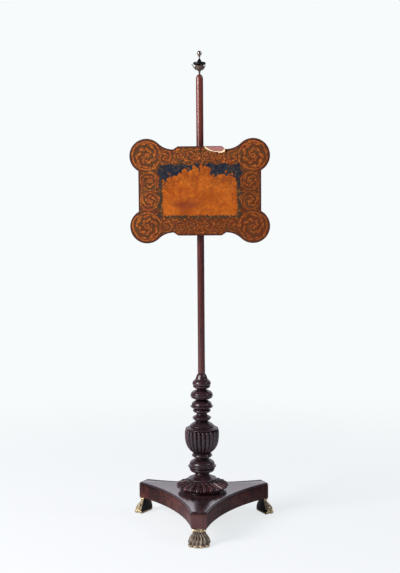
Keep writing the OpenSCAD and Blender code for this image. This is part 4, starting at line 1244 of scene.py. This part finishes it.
# %% Helpers for drawing
def vector_sum(tree, operation, first, second=None, scale=None):
    """One sum on vectors."""
    node = tree.nodes.new("ShaderNodeVectorMath")
    node.operation = operation
    feed(tree, node.inputs[0], first)
    if second is not None:
        feed(tree, node.inputs[1], second)
    if scale is not None:
        feed(tree, node.inputs["Scale"], scale)
    return node.outputs["Value" if operation in ("LENGTH", "DISTANCE") else "Vector"]


def shaken(tree, vector, scale, amount):
    """The vector moved about by noise, by up to half the amount each way."""
    node = tree.nodes.new("ShaderNodeTexNoise")
    feed(tree, node.inputs["Vector"], vector)
    node.inputs["Scale"].default_value = scale
    node.inputs["Detail"].default_value = 2.0
    off = vector_sum(tree, "SUBTRACT", node.outputs["Color"], (0.5, 0.5, 0.5))
    return vector_sum(tree, "ADD", vector, vector_sum(tree, "SCALE", off, scale=amount))


def parts_of(tree, vector):
    """The three numbers of a vector."""
    node = tree.nodes.new("ShaderNodeSeparateXYZ")
    feed(tree, node.inputs[0], vector)
    return node.outputs


def painted(name):
    """RGB as read on a colour card, turned to the shader's linear values."""
    return tuple(((part / 255 + 0.055) / 1.055) ** 2.4 if part > 10 else part / 3294
                 for part in name) + (1,)

# %% Scroll roundel group
# Point and Centre are in millimetres on the panel's face.
roundel, round_in, round_out = new_group(
    "scroll_roundel",
    [("Point", "NodeSocketVector", None), ("Centre", "NodeSocketVector", None),
     ("Radius", "NodeSocketFloat", 20.0), ("Winding", "NodeSocketFloat", 1.1),
     ("Leaves", "NodeSocketFloat", 7.0)],
    [("Inside", "NodeSocketFloat"), ("Leaf", "NodeSocketFloat"), ("Line", "NodeSocketFloat")])
from_centre = vector_sum(roundel, "SUBTRACT", round_in.outputs["Point"], round_in.outputs["Centre"])
across, depth_part, up = parts_of(roundel, from_centre)
share = calc(roundel, "DIVIDE", vector_sum(roundel, "LENGTH", from_centre),
             round_in.outputs["Radius"])
angle = calc(roundel, "ARCTAN2", up, across)
turns = calc(roundel, "DIVIDE", angle, 2 * pi)
winding = calc(roundel, "MULTIPLY", round_in.outputs["Winding"], share)
arm = calc(roundel, "FRACT", calc(roundel, "MULTIPLY", calc(roundel, "ADD", turns, winding), 2.0))
from_stem = calc(roundel, "ABSOLUTE", calc(roundel, "MULTIPLY_ADD", arm, 2.0, -1.0))
beat = calc(roundel, "SINE", calc(roundel, "MULTIPLY_ADD", share, 12.0,
                                  calc(roundel, "MULTIPLY", angle, round_in.outputs["Leaves"])))
leaf_edge = calc(roundel, "MULTIPLY_ADD", beat, 0.24, 0.5)
beyond = calc(roundel, "SUBTRACT", from_stem, leaf_edge)
scroll_leaf = ramp(roundel, beyond, 0.05, -0.05)
scroll_line = calc(roundel, "MAXIMUM", ramp(roundel, calc(roundel, "ABSOLUTE", beyond), 0.17, 0.06),
                   ramp(roundel, from_stem, 0.12, 0.03))
petal_edge = calc(roundel, "MULTIPLY_ADD",
                  calc(roundel, "COSINE", calc(roundel, "MULTIPLY", angle, 6.0)), 0.05, 0.19)
from_petal = calc(roundel, "SUBTRACT", share, petal_edge)
rosette = ramp(roundel, from_petal, 0.015, -0.015)
rosette_line = ramp(roundel, calc(roundel, "ABSOLUTE", from_petal), 0.055, 0.02)
eye = ramp(roundel, share, 0.08, 0.05)
ring = ramp(roundel, calc(roundel, "ABSOLUTE", calc(roundel, "SUBTRACT", share, 0.93)), 0.055, 0.03)
ring_line = ramp(roundel, calc(roundel, "ABSOLUTE", calc(
    roundel, "SUBTRACT", calc(roundel, "ABSOLUTE", calc(roundel, "SUBTRACT", share, 0.93)), 0.075)),
    0.035, 0.012)
in_scroll = calc(roundel, "MULTIPLY", ramp(roundel, from_petal, 0.02, 0.05),
                 ramp(roundel, share, 0.89, 0.86))
leaf_all = calc(roundel, "MAXIMUM", calc(roundel, "MAXIMUM", rosette, ring),
                calc(roundel, "MULTIPLY", scroll_leaf, in_scroll))
line_all = calc(roundel, "MAXIMUM", calc(roundel, "MAXIMUM", rosette_line, ring_line),
                calc(roundel, "MAXIMUM", eye, calc(roundel, "MULTIPLY", scroll_line, in_scroll)))
roundel.links.new(ramp(roundel, share, 1.02, 1.0), round_out.inputs["Inside"])
roundel.links.new(leaf_all, round_out.inputs["Leaf"])
roundel.links.new(line_all, round_out.inputs["Line"])

# %% Places in the decoration
# Millimetres from the panel's middle; the first number is across and the third is up.
ROUNDELS = [((157.5, 0, 104.3), 44.0, 1.25, 9.0), ((101.0, 0, 101.0), 20.5, 1.0, 6.0),
            ((59.5, 0, 105.0), 15.5, 1.0, 5.0), ((21.5, 0, 105.0), 19.5, 1.0, 6.0),
            ((150.0, 0, 29.5), 28.5, 1.1, 7.0)]
FIELD_HALF = (123.0, 80.0)
CARTOUCHE_HALF = 113.0
CARTOUCHE_FOOT = -71.0
CARTOUCHE_TOP = 47.0

# %% Decorated finish
decorated = bpy.data.materials.new("decorated_veneer")
decorated.use_nodes = True
drawing = decorated.node_tree
drawn_shader = drawing.nodes["Principled BSDF"]
drawn_place = drawing.nodes.new("ShaderNodeTexCoord").outputs["Object"]
face_mm = placed(drawing, drawn_place, scale=(1000, 1000, 1000), shift=(0, 0, -PANEL_MIDDLE))
by_hand = shaken(drawing, shaken(drawing, face_mm, 0.04, 13.0), 0.16, 3.4)
folded = vector_sum(drawing, "ABSOLUTE", vector_sum(drawing, "MULTIPLY", by_hand, (1, 0, 1)))

# %% Border of roundels
# Small leaves fill the ground between the roundels.
leaf_cells = drawing.nodes.new("ShaderNodeTexVoronoi")
leaf_cells.feature = "F1"
drawing.links.new(shaken(drawing, folded, 0.12, 9.0), leaf_cells.inputs["Vector"])
leaf_cells.inputs["Scale"].default_value = 0.13
cell_reach = leaf_cells.outputs["Distance"]
all_leaf = ramp(drawing, cell_reach, 0.5, 0.42)
all_line = ramp(drawing, calc(drawing, "ABSOLUTE", calc(drawing, "SUBTRACT", cell_reach, 0.46)),
                0.13, 0.04)
in_roundel = None
for centre, radius, winding_share, leaf_count in ROUNDELS:
    one = use(drawing, roundel, Point=folded, Centre=centre, Radius=radius, Winding=winding_share,
              Leaves=leaf_count)
    keep = calc(drawing, "SUBTRACT", 1.0, one["Inside"])
    all_leaf = calc(drawing, "MAXIMUM", calc(drawing, "MULTIPLY", all_leaf, keep),
                    calc(drawing, "MULTIPLY", one["Leaf"], one["Inside"]))
    all_line = calc(drawing, "MAXIMUM", calc(drawing, "MULTIPLY", all_line, keep),
                    calc(drawing, "MULTIPLY", one["Line"], one["Inside"]))
    in_roundel = one["Inside"] if in_roundel is None else calc(drawing, "MAXIMUM", in_roundel,
                                                               one["Inside"])

# %% Colours of the border
patches = clouds(drawing, face_mm, 0.03, 4.0, 0.6, 0.5)
small_patches = clouds(drawing, face_mm, 0.12, 3.0, 0.6, 0.5)
ground_colour = blend_colours(drawing, ramp(drawing, patches, 0.4, 0.62),
                              painted((92, 46, 24)), painted((78, 58, 32)))
leaf_colour = blend_colours(drawing, ramp(drawing, small_patches, 0.35, 0.68),
                            painted((146, 70, 28)), painted((196, 112, 42)))
leaf_colour = blend_colours(drawing, ramp(drawing, clouds(drawing, face_mm, 0.05, 3.0), 0.56, 0.7),
                            leaf_colour, painted((150, 62, 36)))
border = blend_colours(drawing, all_leaf, ground_colour, leaf_colour)
ink = painted((52, 32, 24))
border = blend_colours(drawing, calc(drawing, "MULTIPLY", all_line, 0.8), border, ink)
worn_away = ramp(drawing, clouds(drawing, face_mm, 0.07, 5.0, 0.7, 0.8), 0.46, 0.64)
border = blend_colours(drawing, calc(drawing, "MULTIPLY", worn_away, 0.7), border,
                       painted((98, 60, 34)))
stains = ramp(drawing, clouds(drawing, face_mm, 0.1, 4.0, 0.65, 1.2), 0.62, 0.7)
border = blend_colours(drawing, calc(drawing, "MULTIPLY", stains, 0.7), border,
                       painted((48, 40, 34)))
plain_x, plain_y, plain_z = parts_of(drawing, face_mm)
# Painted shade: the border turns darker and redder towards the lower right.
shade_towards_lower_right = calc(drawing, "SUBTRACT", calc(drawing, "MULTIPLY", plain_x, 0.7), plain_z)
border = blend_colours(drawing, ramp(drawing, shade_towards_lower_right, -120.0, 150.0, 0.0, 0.42), border,
                       painted((84, 34, 8)))

# %% Field and cartouche
# The cartouche's top is a leafy mound: a low line with a rise in its middle, made to bulge in round
# clumps by a cell pattern.
shaken_x, shaken_y, shaken_z = parts_of(drawing, shaken(drawing, face_mm, 0.07, 9.0))
wave_x = calc(drawing, "MULTIPLY", calc(drawing, "SINE", calc(drawing, "MULTIPLY", shaken_z, 0.2)), 3.5)
wave_z = calc(drawing, "MULTIPLY", calc(drawing, "SINE", calc(drawing, "MULTIPLY", shaken_x, 0.155)), 3.0)
field_x = ramp(drawing, calc(drawing, "ADD", calc(drawing, "ABSOLUTE", shaken_x), wave_x),
               FIELD_HALF[0], FIELD_HALF[0] - 2)
field_z = ramp(drawing, calc(drawing, "ADD", calc(drawing, "ABSOLUTE", shaken_z), wave_z),
               FIELD_HALF[1], FIELD_HALF[1] - 2)
in_field = calc(drawing, "MULTIPLY", calc(drawing, "MULTIPLY", field_x, field_z),
                calc(drawing, "SUBTRACT", 1.0, in_roundel))
domes = calc(drawing, "MULTIPLY", calc(drawing, "ABSOLUTE", calc(
    drawing, "SINE", calc(drawing, "MULTIPLY_ADD", shaken_x, 0.052, 0.6))), 7.0)
frill = calc(drawing, "MULTIPLY", calc(drawing, "ABSOLUTE", calc(
    drawing, "SINE", calc(drawing, "MULTIPLY", shaken_x, 0.27))), 4.0)
hang = calc(drawing, "ADD", calc(drawing, "MULTIPLY", calc(drawing, "POWER", calc(
    drawing, "DIVIDE", calc(drawing, "ABSOLUTE", shaken_x), CARTOUCHE_HALF), 4.0), -22.0),
    ramp(drawing, calc(drawing, "ABSOLUTE", calc(drawing, "ADD", shaken_x, 6.0)), 52.0, 16.0,
         0.0, 17.0))
clump_cells, clump_edges = (drawing.nodes.new("ShaderNodeTexVoronoi") for times in range(2))
clump_edges.feature = "DISTANCE_TO_EDGE"
for cells in (clump_cells, clump_edges):
    drawing.links.new(shaken(drawing, face_mm, 0.09, 7.0), cells.inputs["Vector"])
    cells.inputs["Scale"].default_value = 0.062
top_line = calc(drawing, "ADD", calc(drawing, "ADD", domes, frill),
                calc(drawing, "ADD", hang, CARTOUCHE_TOP))
below_top = calc(drawing, "ADD", calc(drawing, "SUBTRACT", top_line, shaken_z), calc(
    drawing, "MULTIPLY", calc(drawing, "SUBTRACT", 0.45, clump_cells.outputs["Distance"]), 38.0))
above_foot = calc(drawing, "SUBTRACT", shaken_z, calc(drawing, "ADD", calc(
    drawing, "MULTIPLY", frill, -0.8), CARTOUCHE_FOOT))
within_side = calc(drawing, "SUBTRACT", CARTOUCHE_HALF, calc(
    drawing, "ADD", calc(drawing, "ABSOLUTE", shaken_x), calc(drawing, "MULTIPLY", calc(
        drawing, "ABSOLUTE", calc(drawing, "SINE", calc(drawing, "MULTIPLY", shaken_z, 0.3))), 3.0)))
inside_by = calc(drawing, "MINIMUM", calc(drawing, "MINIMUM", below_top, above_foot), within_side)
in_cartouche = calc(drawing, "MULTIPLY", ramp(drawing, inside_by, -0.6, 0.6), in_field)

# %% Colours of the field
night = blend_colours(drawing, ramp(drawing, small_patches, 0.45, 0.65), painted((28, 32, 42)),
                      painted((46, 50, 54)))
sprig_cells = drawing.nodes.new("ShaderNodeTexVoronoi")
drawing.links.new(shaken(drawing, face_mm, 0.2, 5.0), sprig_cells.inputs["Vector"])
sprig_cells.inputs["Scale"].default_value = 0.21
sprigs = calc(drawing, "MULTIPLY", ramp(drawing, sprig_cells.outputs["Distance"], 0.42, 0.3),
              ramp(drawing, clouds(drawing, face_mm, 0.035, 2.0), 0.47, 0.56))
night = blend_colours(drawing, calc(drawing, "MULTIPLY", sprigs, 0.7), night,
                      painted((96, 74, 42)))
low_ground = blend_colours(drawing, all_leaf, painted((58, 46, 34)), painted((110, 74, 36)))
night = blend_colours(drawing, ramp(drawing, calc(drawing, "MULTIPLY_ADD", patches, 70.0, shaken_z),
                                    62.0, 30.0), night, low_ground)
amber = blend_colours(drawing, ramp(drawing, patches, 0.35, 0.65), painted((154, 72, 16)),
                      painted((188, 100, 26)))
speckle = clouds(drawing, face_mm, 0.55, 4.0, 0.7)
amber = blend_colours(drawing, calc(drawing, "MULTIPLY", ramp(drawing, speckle, 0.5, 0.64), 0.6),
                      amber, painted((122, 58, 22)))
mottle = ramp(drawing, clouds(drawing, face_mm, 0.15, 3.0, 0.65, 0.6), 0.44, 0.62)
amber = blend_colours(drawing, calc(drawing, "MULTIPLY", mottle, 0.5), amber,
                      painted((136, 62, 22)))
strokes = ramp(drawing, clouds(drawing, placed(drawing, face_mm, scale=(1, 1, 0.22)), 0.3, 3.0, 0.6,
                               0.5), 0.5, 0.64)
leaf_dark = calc(drawing, "MAXIMUM", ramp(drawing, clump_edges.outputs["Distance"], 0.13, 0.03),
                 calc(drawing, "MULTIPLY", strokes, 0.7))
foliage = calc(drawing, "MULTIPLY", ramp(drawing, below_top, 52.0, 14.0, 0.25, 1.0), leaf_dark)
amber = blend_colours(drawing, calc(drawing, "MULTIPLY", foliage, 0.62), amber,
                      painted((108, 56, 24)))
rim_line = ramp(drawing, calc(drawing, "ABSOLUTE", calc(drawing, "SUBTRACT", inside_by, 0.8)),
                1.3, 0.4)
amber = blend_colours(drawing, calc(drawing, "MULTIPLY", rim_line, 0.6), amber,
                      painted((84, 46, 24)))
smear_spot = vector_sum(drawing, "DISTANCE", vector_sum(
    drawing, "MULTIPLY", by_hand, (0.5, 0, 1.5)), (-20.0, 0, -60.0))
amber = blend_colours(drawing, calc(drawing, "MULTIPLY", ramp(drawing, smear_spot, 30.0, 6.0), 0.75),
                      amber, painted((112, 44, 26)))

# %% Wear, crack and edge line
# The pale splinters of the break come last, over the dark edge.
picture = blend_colours(drawing, in_field, border, night)
picture = blend_colours(drawing, in_cartouche, picture, amber)
flat_x, flat_y, flat_z = parts_of(drawing, shaken(drawing, face_mm, 0.12, 9.0))
crack = calc(drawing, "MULTIPLY",
             ramp(drawing, calc(drawing, "ABSOLUTE", calc(drawing, "SUBTRACT", flat_x, 5.0)), 2.4, 0.8),
             ramp(drawing, flat_z, 88.0, 100.0))
rim = drawing.nodes.new("ShaderNodeAttribute")
rim.attribute_name = "rim"
rim_mask = ramp(drawing, calc(drawing, "MULTIPLY_ADD", small_patches, 0.6, rim.outputs["Fac"]),
                0.55, 0.8)
picture = blend_colours(drawing, calc(drawing, "MULTIPLY", rim_mask, 0.85), picture,
                        painted((62, 32, 30)))
picture = blend_colours(drawing, calc(drawing, "MULTIPLY", crack, 0.85), picture,
                        painted((34, 20, 16)))
broken = drawing.nodes.new("ShaderNodeAttribute")
broken.attribute_name = "broken"
splinter = ramp(drawing, calc(drawing, "MULTIPLY_ADD", calc(drawing, "SUBTRACT", speckle, 0.5), 0.5,
                              broken.outputs["Fac"]), 0.3, 0.42)
grime = ramp(drawing, clouds(drawing, face_mm, 0.018, 6.0, 0.65, 1.0), 0.45, 0.75)
picture = blend_colours(drawing, calc(drawing, "MULTIPLY", grime, 0.35), picture,
                        painted((60, 34, 22)))
losses = ramp(drawing, clouds(drawing, face_mm, 0.5, 2.0, 0.5, 0.6), 0.735, 0.755)
picture = blend_colours(drawing, calc(drawing, "MULTIPLY", losses, 0.7), picture,
                        painted((206, 150, 96)))
picture = blend_colours(drawing, splinter, picture, painted((248, 222, 178)))
drawing.links.new(picture, drawn_shader.inputs["Base Color"])
drawing.links.new(ramp(drawing, clouds(drawing, face_mm, 0.05, 5.0, 0.65), 0.3, 0.7, 0.34, 0.55),
                  drawn_shader.inputs["Roughness"])
drawn_shader.inputs["Specular IOR Level"].default_value = 0.08
drawn_shader.inputs["Coat Weight"].default_value = 0.04
drawn_shader.inputs["Coat Roughness"].default_value = 0.25
relief = calc(drawing, "MULTIPLY_ADD", all_line, -0.3, speckle)
drawn_dent = drawing.nodes.new("ShaderNodeBump")
drawn_dent.inputs["Strength"].default_value = 0.25
drawn_dent.inputs["Distance"].default_value = 0.0003
drawing.links.new(calc(drawing, "SUBTRACT", relief, crack), drawn_dent.inputs["Height"])
drawing.links.new(drawn_dent.outputs["Normal"], drawn_shader.inputs["Normal"])
print("decorated veneer:", len(drawing.nodes), "nodes")

# %% Panel finishes
panel_board_wood = wood_finish("panel_core_pink_wood", (0.20, 0.07, 0.06), (0.33, 0.125, 0.11),
                               (0.46, 0.21, 0.18), grain_turn=(0, radians(90), 0), figure=0.3,
                               gloss=0.75, coat=0.0, dusty=0.1)
lipping_wood = wood_finish("lipping_dark_wood", (0.012, 0.005, 0.006), (0.04, 0.014, 0.014),
                           (0.1, 0.035, 0.03), grain_turn=(0, radians(90), 0), gloss=0.4, coat=0.2)
back_wood = wood_finish("back_veneer_mahogany", (0.04, 0.014, 0.009), (0.12, 0.045, 0.026),
                        (0.22, 0.09, 0.05), grain_turn=(0, radians(90), 0), figure=0.8,
                        gloss=0.45, coat=0.15)

# %% Panel pieces in place
settle(front_veneer, "screen", "decorated_veneer", decorated, "front_veneer")
settle(core_board, "screen", "panel_board", panel_board_wood, "panel_core")
settle(lip, "screen", "lipping_wood", lipping_wood, "edge_lipping")
settle(back_veneer, "screen", "back_veneer", back_wood, "back_veneer")

# %% [markdown]
# ## The slide and clamp
# Behind the panel a brass strap carries two loops that slide on the pole, and a thumbscrew presses a
# pad against it to hold the height. These pieces are plain brasswork whose form the frame already
# has, so each is a merged copy of its node with its edges eased and the old brass finish.

# %% Brasswork behind the panel
strap_brass = brass_finish("strap_brass", (0.74, 0.56, 0.27), (0.34, 0.25, 0.12),
                           (0.03, 0.022, 0.014), filmed=0.4, polish=0.32)
for node, name, body, slot, finish, edge in (
        ("back_strap", "strap_of_brass", "screen", "strap_brass", strap_brass, 0.4),
        ("upper_loop", "upper_pole_loop", "screen", "strap_brass", strap_brass, 0.4),
        ("lower_loop", "lower_pole_loop", "screen", "strap_brass", strap_brass, 0.4),
        ("strap_screws", "strap_wood_screws", "screen", "screw_steel", steel, 0.2),
        ("clamp_pad", "clamp_pad_brass", "pad", "strap_brass", strap_brass, 0.15),
        ("thumbscrew", "winged_thumbscrew", "thumbscrew", "strap_brass", strap_brass, 0.5)):
    settle(dressed_copy(node, name, edge), body, slot, finish, node)
